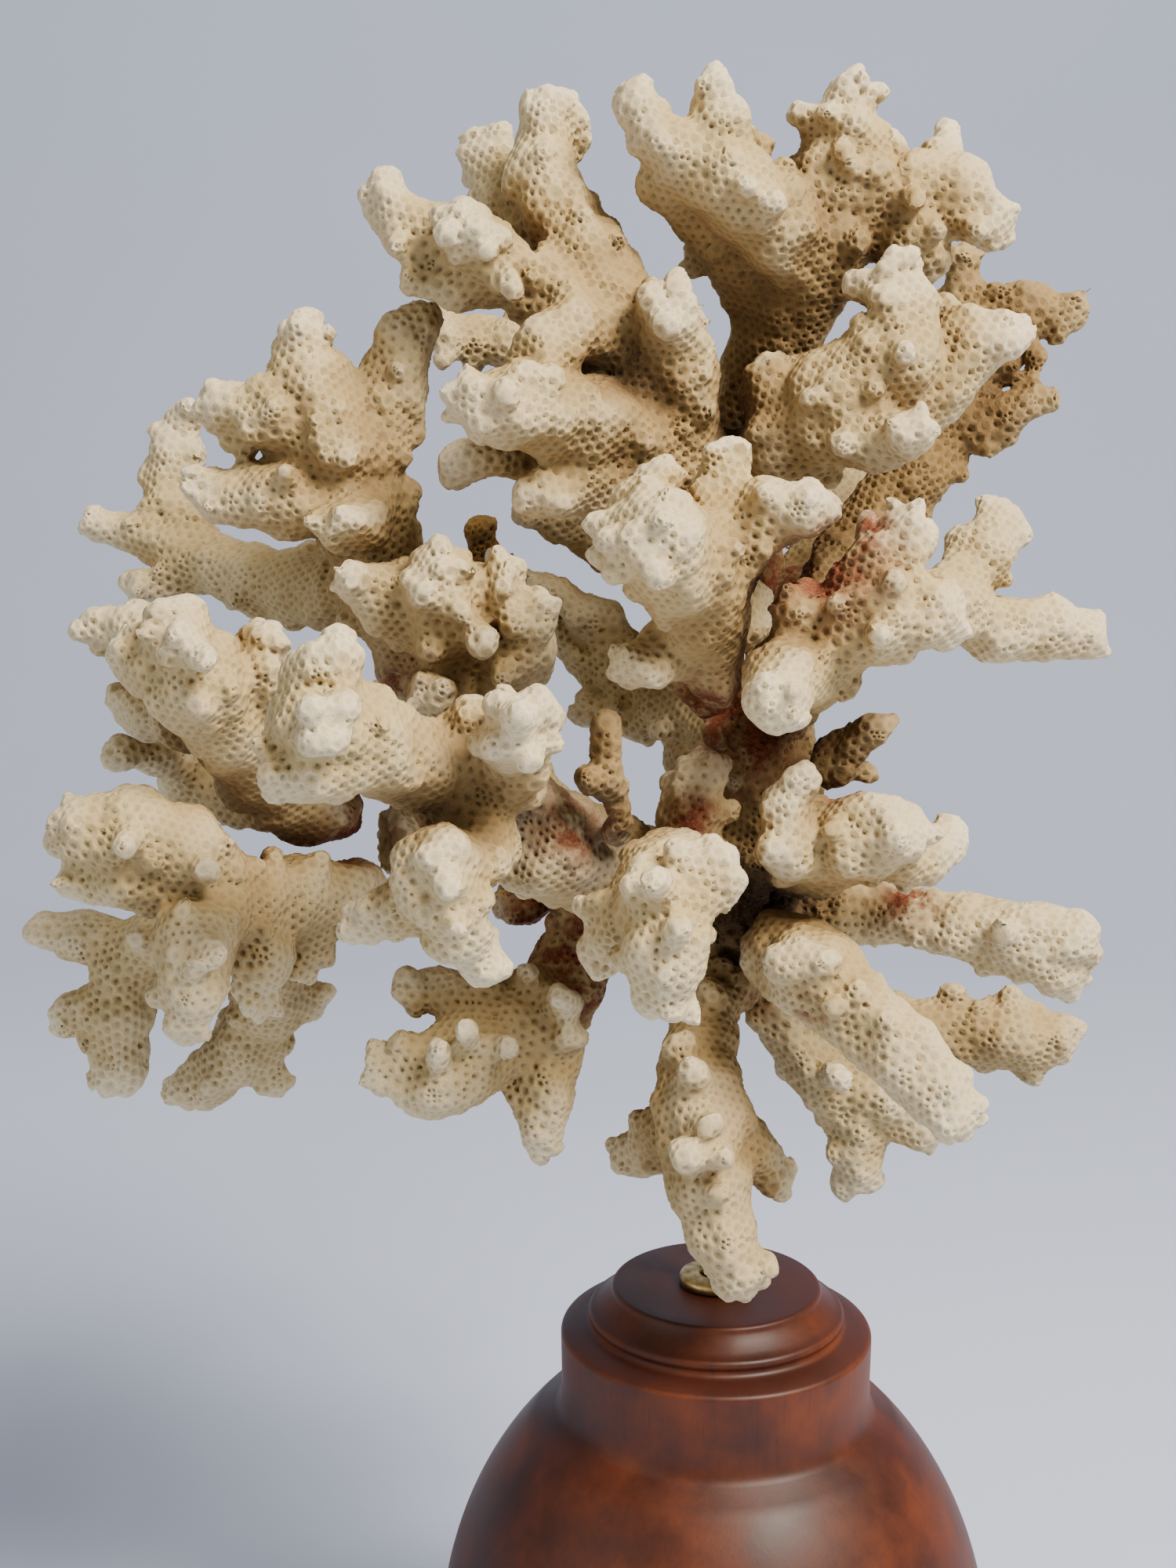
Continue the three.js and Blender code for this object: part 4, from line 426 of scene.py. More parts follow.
            [-43, -44, 184], [-34, -44, 189],
        ],
    },
    "front_lower_knob": {
        "from": "front_left_arm",
        "limbs": [
            [[-30, -27, 176, 6], [-34, -36, 175, 5.5], [-38, -43, 174, 6], [-38, -44, 171, 5],
             [-35, -42, 165, 4], [-33, -40, 161, 3]],
            [[-37, -43, 171, 5], [-43, -40, 168, 4], [-47, -38, 166, 3]],
        ],
        "knobs": [
            [-36, -48, 179, 4.5], [-39, -50, 177, 3.5], [-34, -46, 176, 3.5], [-43, -46, 174, 3],
            [-42, -48, 173], [-49, -38, 166], [-46, -38, 163], [-43, -40, 163], [-40, -42, 164],
            [-37, -44, 163], [-32, -40, 159], [-34, -42, 160], [-35, -50, 167], [-30, -42, 173, 3],
            [-31, -44, 170, 3], [-32, -42, 166], [-36, -52, 173, 3],
        ],
    },
    "left_limb": {
        "from": "trunk",
        "growth": 0.6,
        "limbs": [
            [[2, 4, 160, 6.5], [-11, 9, 162, 6.5], [-25, 12, 165, 6.5], [-38, 12, 166, 6],
             [-45, 10, 166, 5.5]],
            [[-23, 12, 164, 6.5], [-31, 14, 175, 6.5], [-38, 12, 186, 6]],
            [[-23, 12, 164, 5.5], [-29, 10, 157, 4.5]],
        ],
        "knobs": [[-18, 20, 166, 3], [-33, 14, 158, 3]],
    },
    "centre_left_crown": {
        "from": "left_limb",
        "limbs": [
            [[-35, 8, 185, 5.5], [-35, -6, 193, 6.5], [-38, -16, 202, 6.5], [-39, -20, 207, 5.5]],
            [[-37, -14, 200, 6], [-46, -15, 205, 5.5], [-50, -18, 208, 4.5]],
            [[-36, -8, 195, 6], [-29, -15, 198, 5.5], [-27, -18, 201, 3.5]],
            [[-37, -9, 194, 6], [-40, -17, 191, 4.5]],
            [[-39, -14, 203, 5.5], [-32, -18, 206, 4.5]],
        ],
        "knobs": [
            [-53, -20, 209], [-50, -20, 211, 3], [-46, -18, 211, 3], [-44, -16, 211, 3],
            [-38, -22, 212, 3], [-35, -20, 210], [-34, -20, 208, 3], [-30, -16, 207, 3],
            [-30, -22, 201, 3], [-32, -26, 199, 3], [-26, -18, 201], [-24, -18, 197],
            [-25, -16, 193], [-28, -18, 193], [-52, -20, 206], [-49, -18, 202, 3],
            [-46, -18, 200, 3], [-41, -22, 198, 3], [-38, -24, 194, 3], [-41, -20, 190, 3],
            [-36, -18, 189, 3], [-31, -22, 194], [-35, -26, 203, 3], [-41, -26, 206, 3],
            [-43, -24, 208], [-29, -22, 202],
        ],
    },
    "upper_left_branch": {
        "from": "left_limb",
        "limbs": [
            [[-39, 13, 186, 6], [-45, 13, 193, 6.5], [-48, 5, 205, 6.5], [-51, -2, 216, 7.5],
             [-54, -7, 225, 7.5], [-57, -8, 233, 6], [-58, -8, 237, 4.5]],
            [[-54, -7, 225, 7], [-61, -9, 229, 5.5], [-68, -9, 230, 4]],
            [[-52, -4, 218, 7], [-60, -10, 218, 5.5], [-69, -10, 218, 4]],
            [[-52, -4, 222, 7], [-47, -4, 231, 5.5], [-44, -4, 240, 4]],
            [[-51, -4, 217, 6.5], [-51, -14, 214, 4.5]],
        ],
        "knobs": [
            [-61, -8, 239], [-56, -7, 239, 3], [-58, -10, 240, 3], [-54, -12, 235],
            [-63, -12, 234, 3], [-61, -16, 230, 3], [-71, -9, 231, 3], [-69, -10, 228],
            [-65, -14, 226], [-73, -10, 217], [-71, -12, 220], [-69, -12, 221], [-71, -8, 215],
            [-63, -16, 217], [-59, -18, 222], [-44, -4, 243], [-48, -4, 241], [-42, -4, 238],
            [-42, -4, 231], [-45, -10, 235], [-43, -4, 226], [-43, 0, 219], [-54, -16, 214],
            [-50, -18, 213], [-47, -14, 217], [-56, -16, 226], [-52, -14, 230], [-51, -16, 223],
            [-45, 2, 213],
        ],
    },
    "far_left_column": {
        "from": "upper_left_branch",
        "limbs": [
            [[-49, 8, 205, 5.5], [-59, 18, 203, 6], [-71, 26, 204, 5.5], [-81, 32, 207, 5],
             [-86, 36, 215, 4.5], [-85, 38, 223, 4.5], [-84, 38, 228, 3]],
            [[-83, 32, 207, 4.5], [-90, 34, 211, 4], [-96, 34, 212, 2.5]],
            [[-81, 32, 206, 4.5], [-88, 30, 203, 3]],
        ],
        "knobs": [
            [-85, 38, 228], [-82, 38, 228], [-89, 38, 227], [-91, 38, 220, 3], [-89, 36, 218],
            [-81, 36, 221], [-98, 34, 212], [-97, 34, 210], [-93, 34, 209], [-93, 30, 203],
            [-90, 30, 201], [-74, 26, 202], [-64, 22, 209], [-81, 34, 215],
        ],
    },
    "left_lobe": {
        "from": "left_limb",
        "limbs": [
            [[-51, 6, 167, 5.5], [-59, 2, 172, 6], [-66, -6, 179, 6], [-68, -16, 188, 6.5],
             [-71, -22, 194, 7], [-73, -24, 200, 5.5]],
            [[-68, -16, 190, 6], [-63, -18, 196, 4.5], [-63, -18, 198, 3.5]],
            [[-71, -22, 194, 6.5], [-77, -22, 196, 4.5], [-79, -22, 197, 3]],
            [[-68, -10, 186, 5.5], [-81, -4, 188, 4.5], [-85, -2, 188, 3]],
            [[-59, 2, 173, 5], [-72, 10, 173, 4.5], [-81, 14, 174, 4]],
            [[-79, 12, 175, 4], [-82, 6, 180, 3.5], [-86, 2, 181, 2.5]],
            [[-72, -12, 195, 4.5], [-82, -6, 199, 4.5], [-87, -4, 200, 3.5]],
        ],
        "knobs": [
            [-76, -26, 205], [-72, -26, 205, 3], [-70, -24, 205, 3], [-76, -28, 201],
            [-71, -32, 202, 3], [-66, -22, 200], [-63, -18, 200], [-80, -24, 197],
            [-77, -26, 192, 3], [-73, -28, 191, 3], [-69, -30, 192, 3], [-65, -28, 194],
            [-61, -16, 197], [-59, -14, 194, 3], [-60, -14, 190], [-62, -20, 190], [-90, -4, 200],
            [-89, -4, 197], [-87, 0, 181], [-87, -2, 187], [-83, -6, 191], [-84, 16, 173],
            [-80, 14, 170], [-79, 12, 178], [-71, -8, 182], [-64, -16, 184], [-62, -8, 178],
            [-67, -34, 198], [-74, -32, 198],
        ],
    },
    "lower_left_branch": {
        "from": "left_limb",
        "limbs": [
            [[-51, 5, 166, 5.5], [-56, -2, 161, 6], [-62, -8, 162, 6], [-67, -14, 162, 5.5],
             [-71, -20, 162, 5.5], [-72, -26, 160, 5.5], [-72, -28, 154, 4.5], [-73, -28, 150, 3]],
            [[-69, -14, 162, 6], [-74, -20, 171, 6], [-80, -22, 174, 6], [-86, -22, 174, 5]],
            [[-75, -20, 166, 5], [-81, -22, 168, 4.5], [-86, -21, 167, 3.5]],
            [[-67, -14, 161, 5.5], [-65, -14, 155, 5], [-66, -14, 151, 3.5]],
            [[-59, -5, 160, 5.5], [-60, -4, 154, 4]],
            [[-66, -8, 160, 5.5], [-78, 0, 156, 5], [-88, 4, 150, 5], [-90, 4, 141, 5.5],
             [-90, 4, 133, 4.5]],
            [[-87, 4, 151, 4.5], [-95, 4, 153, 4], [-99, 4, 154, 2.5]],
            [[-90, 4, 143, 5], [-96, 4, 141, 3.5]],
            [[-67, -4, 158, 5], [-68, 12, 141, 6], [-74, 16, 131, 5.5], [-81, 18, 125, 4.5]],
            [[-68, 10, 143, 5], [-63, 12, 141, 3.5]],
            [[-72, 14, 135, 4.5], [-70, 16, 128, 3]],
        ],
        "knobs": [
            [-63, -12, 170], [-64, -16, 168], [-67, -20, 168], [-57, -8, 168], [-54, -8, 158],
            [-57, -4, 151], [-60, -4, 150], [-74, -28, 148], [-70, -28, 150], [-75, -28, 151],
            [-74, -32, 160, 3], [-67, -34, 160, 3], [-70, -36, 159], [-63, -14, 150],
            [-67, -14, 148], [-62, -16, 156], [-85, -22, 179], [-89, -22, 177, 3],
            [-89, -22, 173, 3], [-87, -24, 171, 3], [-82, -28, 171, 3], [-79, -22, 178, 3],
            [-75, -24, 177, 3], [-73, -24, 175], [-79, -32, 174], [-77, -28, 170], [-73, -30, 168],
            [-69, -28, 169], [-93, -18, 171, 3], [-92, -18, 166, 3], [-81, -26, 179],
            [-77, -26, 164, 3], [-102, 4, 155], [-100, 4, 151], [-99, 4, 142, 3], [-95, 4, 138, 3],
            [-95, 4, 132, 3], [-92, 4, 129, 3], [-87, 4, 130, 3], [-85, 2, 136], [-85, -4, 155],
            [-82, -2, 149], [-83, 18, 121], [-80, 18, 122], [-71, 16, 125], [-64, 14, 133],
            [-65, 12, 139], [-68, 16, 130], [-85, 18, 124], [-93, 2, 148], [-74, 8, 139],
        ],
    },
    "lower_centre_arm": {
        "from": "left_limb",
        "limbs": [
            [[-18, 6, 163, 6], [-20, 4, 155, 5.5], [-23, 0, 147, 6], [-30, -5, 142, 7],
             [-37, -10, 139, 6.5], [-43, -12, 137, 5], [-47, -12, 137, 3.5]],
            [[-26, -4, 140, 6.5], [-26, -8, 132, 5], [-26, -10, 127, 3]],
            [[-30, -5, 142, 6.5], [-39, -6, 147, 4], [-43, -6, 147, 3]],
            [[-36, -10, 139, 6.5], [-40, -14, 136, 5], [-43, -14, 135, 4]],
        ],
        "knobs": [
            [-21, -12, 147, 4], [-21, -12, 143, 4], [-23, -14, 149, 3], [-26, -10, 124],
            [-28, -10, 128], [-24, -8, 127], [-31, -10, 133], [-33, -14, 136], [-45, -6, 146],
            [-45, -8, 144], [-42, -6, 150], [-51, -12, 142], [-51, -12, 137], [-48, -13, 135],
            [-48, -14, 144], [-37, -2, 149], [-32, -8, 150], [-28, -10, 152], [-36, -20, 146],
            [-30, -18, 143], [-23, -8, 134], [-40, -20, 144],
        ],
    },
    "twigs": {
        "from": "front_left_arm",
        "growth": 0,
        "limbs": [
            [[-15, -24, 173, 1.8], [-16, -28, 178, 1.8], [-17, -30, 183, 1.8],
             [-17, -30, 188, 1.8], [-17, -30, 190, 1.8]],
            [[-16, -29, 181, 1.8], [-20, -32, 183, 1.8], [-23, -34, 185, 1.8],
             [-23, -34, 187, 1.8]],
        ],
        "knobs": [[-19, -30, 186, 1], [-15, -29, 185, 1], [-15, -30, 188, 1], [-22, -33, 188, 1]],
    },
    "back_left_arm": {
        "from": "left_limb",
        "limbs": [
            [[-37, 13, 166, 5.5], [-39, 34, 165, 5.5], [-38, 48, 175, 5.5], [-37, 58, 187, 5.5],
             [-38, 62, 195, 4]],
            [[-38, 48, 175, 5], [-45, 54, 177, 4.5], [-53, 58, 180, 3.5]],
        ],
        "knobs": [[-26, 58, 186, 3], [-45, 60, 188, 3]],
    },
    "back_upper_branch": {
        "from": "trunk",
        "limbs": [
            [[3, 12, 194, 6.5], [-1, 30, 201, 6], [-5, 44, 209, 6], [-12, 52, 221, 6],
             [-18, 54, 231, 5.5], [-26, 52, 240, 4.5], [-33, 46, 241, 4.5], [-40, 44, 242, 3.5]],
            [[-5, 44, 211, 5.5], [-16, 40, 208, 4], [-24, 34, 214, 4.5], [-28, 30, 215, 3.5]],
            [[-12, 52, 221, 6], [-6, 62, 234, 5], [-3, 66, 243, 4]],
            [[-15, 52, 227, 5], [-26, 56, 223, 4]],
        ],
        "knobs": [[-43, 38, 242, 3], [-38, 42, 237, 3], [-36, 42, 242, 3], [-43, 38, 237]],
    },
    "back_right_arm": {
        "from": "trunk",
        "limbs": [
            [[5, 10, 189, 6.5], [12, 32, 196, 6], [18, 48, 203, 6], [24, 60, 212, 5.5],
             [26, 66, 220, 4]],
            [[18, 46, 201, 5], [28, 54, 200, 4.5], [35, 56, 202, 3.5]],
        ],
        "knobs": [],
    },
    "back_low_arm": {
        "from": "trunk",
        "limbs": [
            [[7, 4, 167, 6], [8, 28, 164, 5.5], [5, 42, 161, 6], [1, 54, 166, 6],
             [-2, 60, 172, 4.5]],
            [[5, 38, 159, 5.5], [13, 52, 151, 5], [18, 60, 145, 4]],
            [[5, 36, 160, 5], [-5, 50, 150, 5], [-10, 56, 142, 3.5]],
        ],
        "knobs": [],
    },
    "back_mid_arm": {
        "from": "trunk",
        "limbs": [
            [[6, 4, 176, 6.5], [3, 22, 180, 5.5], [-7, 34, 185, 5], [-16, 40, 188, 4.5],
             [-22, 42, 193, 3.5]],
            [[-6, 32, 184, 4.5], [-12, 36, 181, 3.5], [-18, 38, 182, 3]],
            [[-13, 38, 190, 4.5], [-18, 38, 197, 4], [-26, 36, 202, 2.5], [-32, 34, 204, 2]],
        ],
        "knobs": [[-25, 42, 194], [-20, 44, 194], [-21, 38, 180]],
    },
    "brown_finger": {
        "from": "back_left_arm",
        "growth": 0.3,
        "limbs": [
            [[-34, 50, 181, 4.5], [-36, 46, 195, 4], [-36, 40, 206, 3.5], [-37, 38, 211, 2.5]],
        ],
        "knobs": [[-38, 38, 210, 2], [-34, 38, 212, 2]],
    },
}

limb_count = sum(len(entry["limbs"]) for entry in BRANCHES.values())
knob_count = sum(len(entry["knobs"]) for entry in BRANCHES.values())
print("branches", len(BRANCHES), "limbs", limb_count, "knobs", knob_count)

# %% [markdown]
# A limb is a chain of round cones along its middle line, and whatever grows on it starts from a
# place on that line and goes off to one side. These helpers find the place, the distance to a
# chain of cones, and the two directions that lie square to a limb.

# %% Along a limb
GOLDEN_ANGLE = 2.39996  # radians, sets things evenly round a stem
UPRIGHT = 0.8  # from this share of its direction, a limb counts as upright


def along(limb, distance):
    """A place part-way along a limb: its point with radius, its direction, and whether it ended."""
    left = distance
    for number, (a, b) in enumerate(zip(limb[:-1], limb[1:]), 2):
        step = np.linalg.norm(b[:3] - a[:3])
        if left <= step or number == len(limb):
            return a + (b - a) * min(left / step, 1), (b - a)[:3] / step, left > step
        left -= step


def cone_distance(part, points):
    """Distance from points to a chain of round cones."""
    best = np.full(points.shape[:-1], np.inf, np.float32)
    for a, b in zip(part[:-1], part[1:]):
        ab = b[:3] - a[:3]
        away = points - a[:3]
        t = np.clip(away @ ab / (ab @ ab + 1e-9), 0, 1)
        d = np.linalg.norm(away - t[..., None] * ab, axis=-1) - a[3] - (b[3] - a[3]) * t
        best = np.minimum(best, d)
    return best


def sideways(d):
    """Two directions square to a limb's own and to each other."""
    side = np.array([d[1], -d[0], 0] if abs(d[2]) < UPRIGHT else [0, d[2], -d[1]])
    u = side / np.linalg.norm(side)
    return u, np.cross(d, u)


trunk_limb = np.array(BRANCHES["trunk"]["limbs"][0], float)
print("20 mm up the trunk, x y z radius:", along(trunk_limb, 20)[0].round(1).tolist())

# %% [markdown]
# Knobs are the blunt buds on a limb's side, 3 to 5 mm wide. The ones that the photograph shows are
# in the routes above. The side turned away gets its own, set round each limb by the golden angle,
# as buds are on many growing things. Each is a short cone with a round end.

# %% Knobs
KNOB_RADIUS = 2.5  # mm at the root, where the route gives none
KNOB_TAPER = 0.62  # the round end's radius, as a share of the root's
KNOB_STRETCH = 0.2  # mm that the round end goes past the tip in the routes
SHORTEST_KNOB = 0.15  # as a share of the way to the tip
BACK_KNOB_STEP = 8  # mm along the limb
BACK_KNOB_REACH = 2.6  # mm out of the limb
BACK_KNOB_LEAN = 0.35  # towards the limb's end
TURNED_AWAY = 0.15  # the share of its direction that points to the back


def knob_to(limbs, tip):
    """A knob: a short cone with a round end, from the limb's middle line out to its tip."""
    best = None
    for limb in limbs:
        for a, b in zip(limb[:-1], limb[1:]):
            ab = (b - a)[:3]
            t = min(1, max(0, (tip[:3] - a[:3]) @ ab / (ab @ ab)))
            place = a + (b - a) * t
            away = np.linalg.norm(tip[:3] - place[:3]) - place[3]
            if best is None or away < best[0]:
                best = (away, place)
    root = best[1]
    radius = tip[3] if len(tip) > 3 else KNOB_RADIUS
    end = radius * KNOB_TAPER
    reach = np.linalg.norm(tip[:3] - root[:3]) or 1
    share = max(SHORTEST_KNOB, (reach + KNOB_STRETCH - end) / reach)
    middle = root[:3] + (tip[:3] - root[:3]) * share
    return np.array([[*root[:3], min(radius, root[3])], [*middle, end]])


def back_knobs(limbs, growth):
    """Tips of knobs on the side turned away, set round each limb by the golden angle."""
    knobs = []
    count = 0
    for limb in limbs if growth else []:
        distance = BACK_KNOB_STEP
        while True:
            place, d, done = along(limb, distance)
            distance += BACK_KNOB_STEP
            if done:
                break
            count += 1
            angle = count * GOLDEN_ANGLE
            u, w = sideways(d)
            out = u * math.cos(angle) + w * math.sin(angle) + d * BACK_KNOB_LEAN
            if out[1] < TURNED_AWAY:
                continue
            unlike = 0.7 + 0.6 * abs(math.sin(count * 1.7))  # no knob is as high as the last
            reach = place[3] + BACK_KNOB_REACH * growth * unlike
            knobs.append(place[:3] + out / np.linalg.norm(out) * reach)
    return knobs


print("knobs turned away on the trunk:", len(back_knobs([trunk_limb], 1)))

# %% [markdown]
# Between the knobs the real skin is lumpy with nubs of 2 to 4 mm, and each free end carries a
# crown of them. There are far too many to place by hand, so the golden angle sets these as well,
# and a sine makes them unlike.

# %% Nubs
CROWN_NUBS = 9  # round each free end
CROWN_REACH = 2.3  # mm out of the end
CROWN_LEAN = 0.3  # radians off the limb's direction, for the first nub of a crown
SIDE_REACH = 1.9  # mm out of the side
SIDE_LEAN = 1.35  # radians off the limb's direction
NUB_STEP = 3.0  # mm along the limb
NUB_RADIUS = 2.2
NUB_TAPER = 0.48  # the round end's radius, as a share of the root's
NUB_ROOT = 2.5  # mm under the skin
LOWEST_NUB = 0.5  # mm


def nub(place, direction, reach):
    """A small nub that stands out of a limb to the reach given, in one direction."""
    end = NUB_RADIUS * NUB_TAPER
    root = place[:3] + direction * max(0, place[3] - NUB_ROOT)
    tip = place[:3] + direction * (reach - end)
    return np.array([[*root, min(NUB_RADIUS, place[3])], [*tip, end]])


def nubs_on(limb, first, growth):
    """Small nubs all along a limb and round its free end, set by the golden angle."""
    length = sum(np.linalg.norm((b - a)[:3]) for a, b in zip(limb[:-1], limb[1:]))
    on_side = int(length / NUB_STEP)
    nubs = []
    for k in range(on_side + CROWN_NUBS):
        place, d, done = along(limb, min(k * NUB_STEP, length))
        u, w = sideways(d)
        turn = (first + k) * GOLDEN_ANGLE
        number = k - on_side  # below zero, it is still on the side
        lean = SIDE_LEAN if number < 0 else CROWN_LEAN + number / CROWN_NUBS
        out = (u * math.cos(turn) + w * math.sin(turn)) * math.sin(lean) + d * math.cos(lean)
        height = SIDE_REACH if number < 0 else CROWN_REACH
        height *= growth * (0.55 + 0.75 * math.sin(2.3 * (first + k)))  # unlike its neighbours
        if height > LOWEST_NUB:
            nubs.append(nub(place, out, place[3] + height))
    return nubs


print("nubs on the trunk:", len(nubs_on(trunk_limb, 0, 1)))

# %% [markdown]
# A branch takes its limbs, knobs and nubs together as one list of parts. Where it leaves the one
# that carries it is its neck, and there the two share the flesh of the fork. The neck is the first
# place that is clear of the carrier, unless the route itself says how far along it lies.

# %% Branches
SLIMMING = 0.4  # mm off each limb, because nubs and swellings add to it
SLIMMEST = 2.0  # mm, a limb this thin stays as it is
BACK_NUB_GROWTH = 1.4  # the back's nubs are coarser
CUT_CLEAR = 5.5  # mm from the carrier's skin to the neck
CUT_SEARCH_STEP = 0.5
NECK_SHARE, NECK_MARGIN = 1.15, 2.6  # the neck's radius, from the limb's


def neck_of(limb, carrier_limbs, entry):
    """Where a branch leaves the one that carries it: place, direction and radius."""
    cut = entry.get("cut")
    place, direction, done = along(limb, cut or 0)
    distance = 0.0
    while cut is None and not done:
        place, direction, done = along(limb, distance)
        distance += CUT_SEARCH_STEP
        if min(float(cone_distance(other, place[:3])) for other in carrier_limbs) > CUT_CLEAR:
            break
    radius = entry.get("cut_radius", place[3] * NECK_SHARE + NECK_MARGIN)
    return place[:3], direction, radius


class Branch:
    """One branch: what carries it, its limbs, and all its parts."""

    def __init__(self, name, entry):
        self.carrier = entry["from"]
        self.limbs = [np.array(limb, float) for limb in entry["limbs"]]
        for limb in self.limbs:
            limb[:, 3] = np.maximum(limb[:, 3] - SLIMMING, np.minimum(limb[:, 3], SLIMMEST))
        tips = [np.array(tip, float) for tip in entry["knobs"]]
        tips += back_knobs(self.limbs, entry.get("growth", 1))
        self.parts = self.limbs + [knob_to(self.limbs, tip) for tip in tips]
        nub_growth = entry.get("growth", BACK_NUB_GROWTH if name.startswith("back_") else 1)
        for number, limb in enumerate(self.limbs):
            self.parts += nubs_on(limb, number * CROWN_NUBS, nub_growth)


branches = {name: Branch(name, entry) for name, entry in BRANCHES.items()}
for name, branch in branches.items():
    if branch.carrier:
        branch.neck = neck_of(branch.limbs[0], branches[branch.carrier].limbs, BRANCHES[name])
print("branches", len(branches), "limbs and knobs", sum(len(b.parts) for b in branches.values()))

# %% [markdown]
# A mesh glued together from all those cones would have hard creases. Instead, a numpy grid holds,
# at every point, the distance to the nearest limb or knob of one branch, blended softly where two
# come together. The surface is then where that distance is zero, with the crotches rounded.

# %% Field of one branch
CELL = 0.85  # grid step in mm, a little over half of a cup
REACH = 5.0  # mm, how far from a limb the field is worked out
EMPTY = 9.0  # mm, the distance given to all places further off
PAD = 6.0  # mm of room round the coral
LIMB_BLEND = 1.4  # mm, over which a crotch is rounded

every_point = np.concatenate([np.concatenate(b.parts) for b in branches.values()])
grid_low = (every_point[:, :3] - every_point[:, 3:]).min(0) - PAD
grid_high = (every_point[:, :3] + every_point[:, 3:]).max(0) + PAD
grid_size = np.ceil((grid_high - grid_low) / CELL).astype(int) + 1


def region(part, margin):
    """The block of grid cells round a chain of round cones."""
    low = (part[:, :3] - part[:, 3:]).min(0) - margin - grid_low
    high = (part[:, :3] + part[:, 3:]).max(0) + margin - grid_low
    i0 = np.maximum(np.floor(low / CELL).astype(int), 0)
    i1 = np.minimum(np.ceil(high / CELL).astype(int) + 1, grid_size)
    return tuple(slice(a, b) for a, b in zip(i0, i1))


def places(block):
    """The grid points of a block, in mm."""
    axes = [np.arange(s.start, s.stop, dtype=np.float32) * CELL + grid_low[k]
            for k, s in enumerate(block)]
    return np.stack(np.meshgrid(*axes, indexing="ij"), -1).astype(np.float32)


def softly(nearest, second, softness):
    """Joins two distances with a crotch that is rounded over the softness given."""
    overlap = np.clip(1 - (second - nearest) / softness, 0, 1)
    return nearest - overlap ** 2 * softness / 4


def branch_distance(branch):
    """Blended distance to one branch, on the block of the grid that it reaches."""
    block = region(np.concatenate(branch.parts), REACH)
    nearest = np.full([s.stop - s.start for s in block], EMPTY, np.float32)
    second = nearest.copy()
    for part in branch.parts:
        for piece in zip(part[:-1], part[1:]):
            pair = np.array(piece, np.float32)
            inner = region(pair, REACH)
            here = tuple(slice(s.start - b.start, s.stop - b.start) for s, b in zip(inner, block))
            d = cone_distance(pair, places(inner))
            second[here] = np.minimum(second[here], np.maximum(nearest[here], d))
            nearest[here] = np.minimum(nearest[here], d)
    return block, softly(nearest, second, LIMB_BLEND)


names = list(branches)
fields = [branch_distance(branch) for branch in branches.values()]
print("fields", len(fields), "the largest of", max(d.size for block, d in fields), "grid points")

# %% [markdown]
# A live branch flows into the one that carries it, but two branches that only pass each other
# stay apart with a cleft between them. So each grid point is owned by its nearest branch. In the
# flesh of a fork the carrier's field counts as the branch's own, and everywhere else the halfway
# line to the next branch is kept open.

# %% Where branches meet
BRANCH_BLEND = 1.2  # mm, how softly a branch flows into its carrier
CLEFT = 3.0  # mm kept open where two branches pass each other
FORK_REACH = 1.5  # mm by which a branch that carries others wins the ground between them
FORK_DEPTH = 2.6  # mm before a neck, from where the flesh is shared
LUMP = 0.45  # mm, the height of the swellings
FAR = 99.0  # mm, further than anything


def in_fork(child, points):
    """Whether points lie in the flesh of a fork, well before the child's neck."""
    centre, normal, radius = branches[child].neck
    away = points - centre.astype(np.float32)
    return (away @ normal < -FORK_DEPTH) & (np.linalg.norm(away, axis=-1) < radius + FORK_DEPTH)


def swelling(p):
    """Swellings 8 to 10 mm long that make limbs uneven, bent by slower waves so none repeats."""
    x, y, z = p[..., 0], p[..., 1], p[..., 2]
    a = np.sin(0.61 * x + 1.4 * np.sin(0.33 * z)) * np.sin(0.57 * y + 1.1 * np.sin(0.29 * x))
    b = np.sin(0.83 * z + 1.2 * np.sin(0.41 * y) + 0.5)
    return LUMP * (a + 0.6 * b * np.sin(0.37 * x - 0.45 * y))


carriers = {branch.carrier for branch in branches.values()}
bias = [FORK_REACH if name in carriers else 0 for name in names]
first = np.full(grid_size, FAR, np.float32)
owner = np.full(grid_size, -1, np.int16)
for number, (block, d) in enumerate(fields):
    nearer = d - bias[number] < first[block]
    first[block][nearer] = (d - bias[number])[nearer]
    owner[block][nearer] = number

other = np.full(grid_size, FAR, np.float32)
flesh = np.zeros(grid_size)
for number, (block, d) in enumerate(fields):
    name = names[number]
    points = places(block)
    own = owner[block] == number
    for child, branch in branches.items():
        if name in (child, branch.carrier) and branch.carrier:
            partner = names.index(branch.carrier if name == child else child)
            own |= (owner[block] == partner) & in_fork(child, points)
    flesh[block] += np.where(own, np.exp(-d / BRANCH_BLEND), 0)
    rival = np.where(own, FAR, d - bias[number])
    other[block] = np.minimum(other[block], rival)

with np.errstate(divide="ignore"):
    body = (-BRANCH_BLEND * np.log(flesh)).astype(np.float32)
whole = places(tuple(slice(0, n) for n in grid_size))
value = np.maximum(body - swelling(whole), CLEFT / 2 - (other - first) / 2)
value = np.clip(np.where(flesh > 0, value, EMPTY), -EMPTY, EMPTY).astype(np.float32)
print("grid", tuple(grid_size.tolist()), "inside", int((value < 0).sum() * CELL ** 3), "mm3")

# %% [markdown]
# The cups sit about 1.5 mm apart, each with a low raised rim round a small pit. A picture of cups
# laid on as bump would be quicker, but it would look flat at the outline, so they are real mesh.
# Both the mesh and the dust with its painted shade need the field between its grid points, and
# the way out of the skin.

# %% Reading the field
SLOPE_STEP = 0.7  # mm


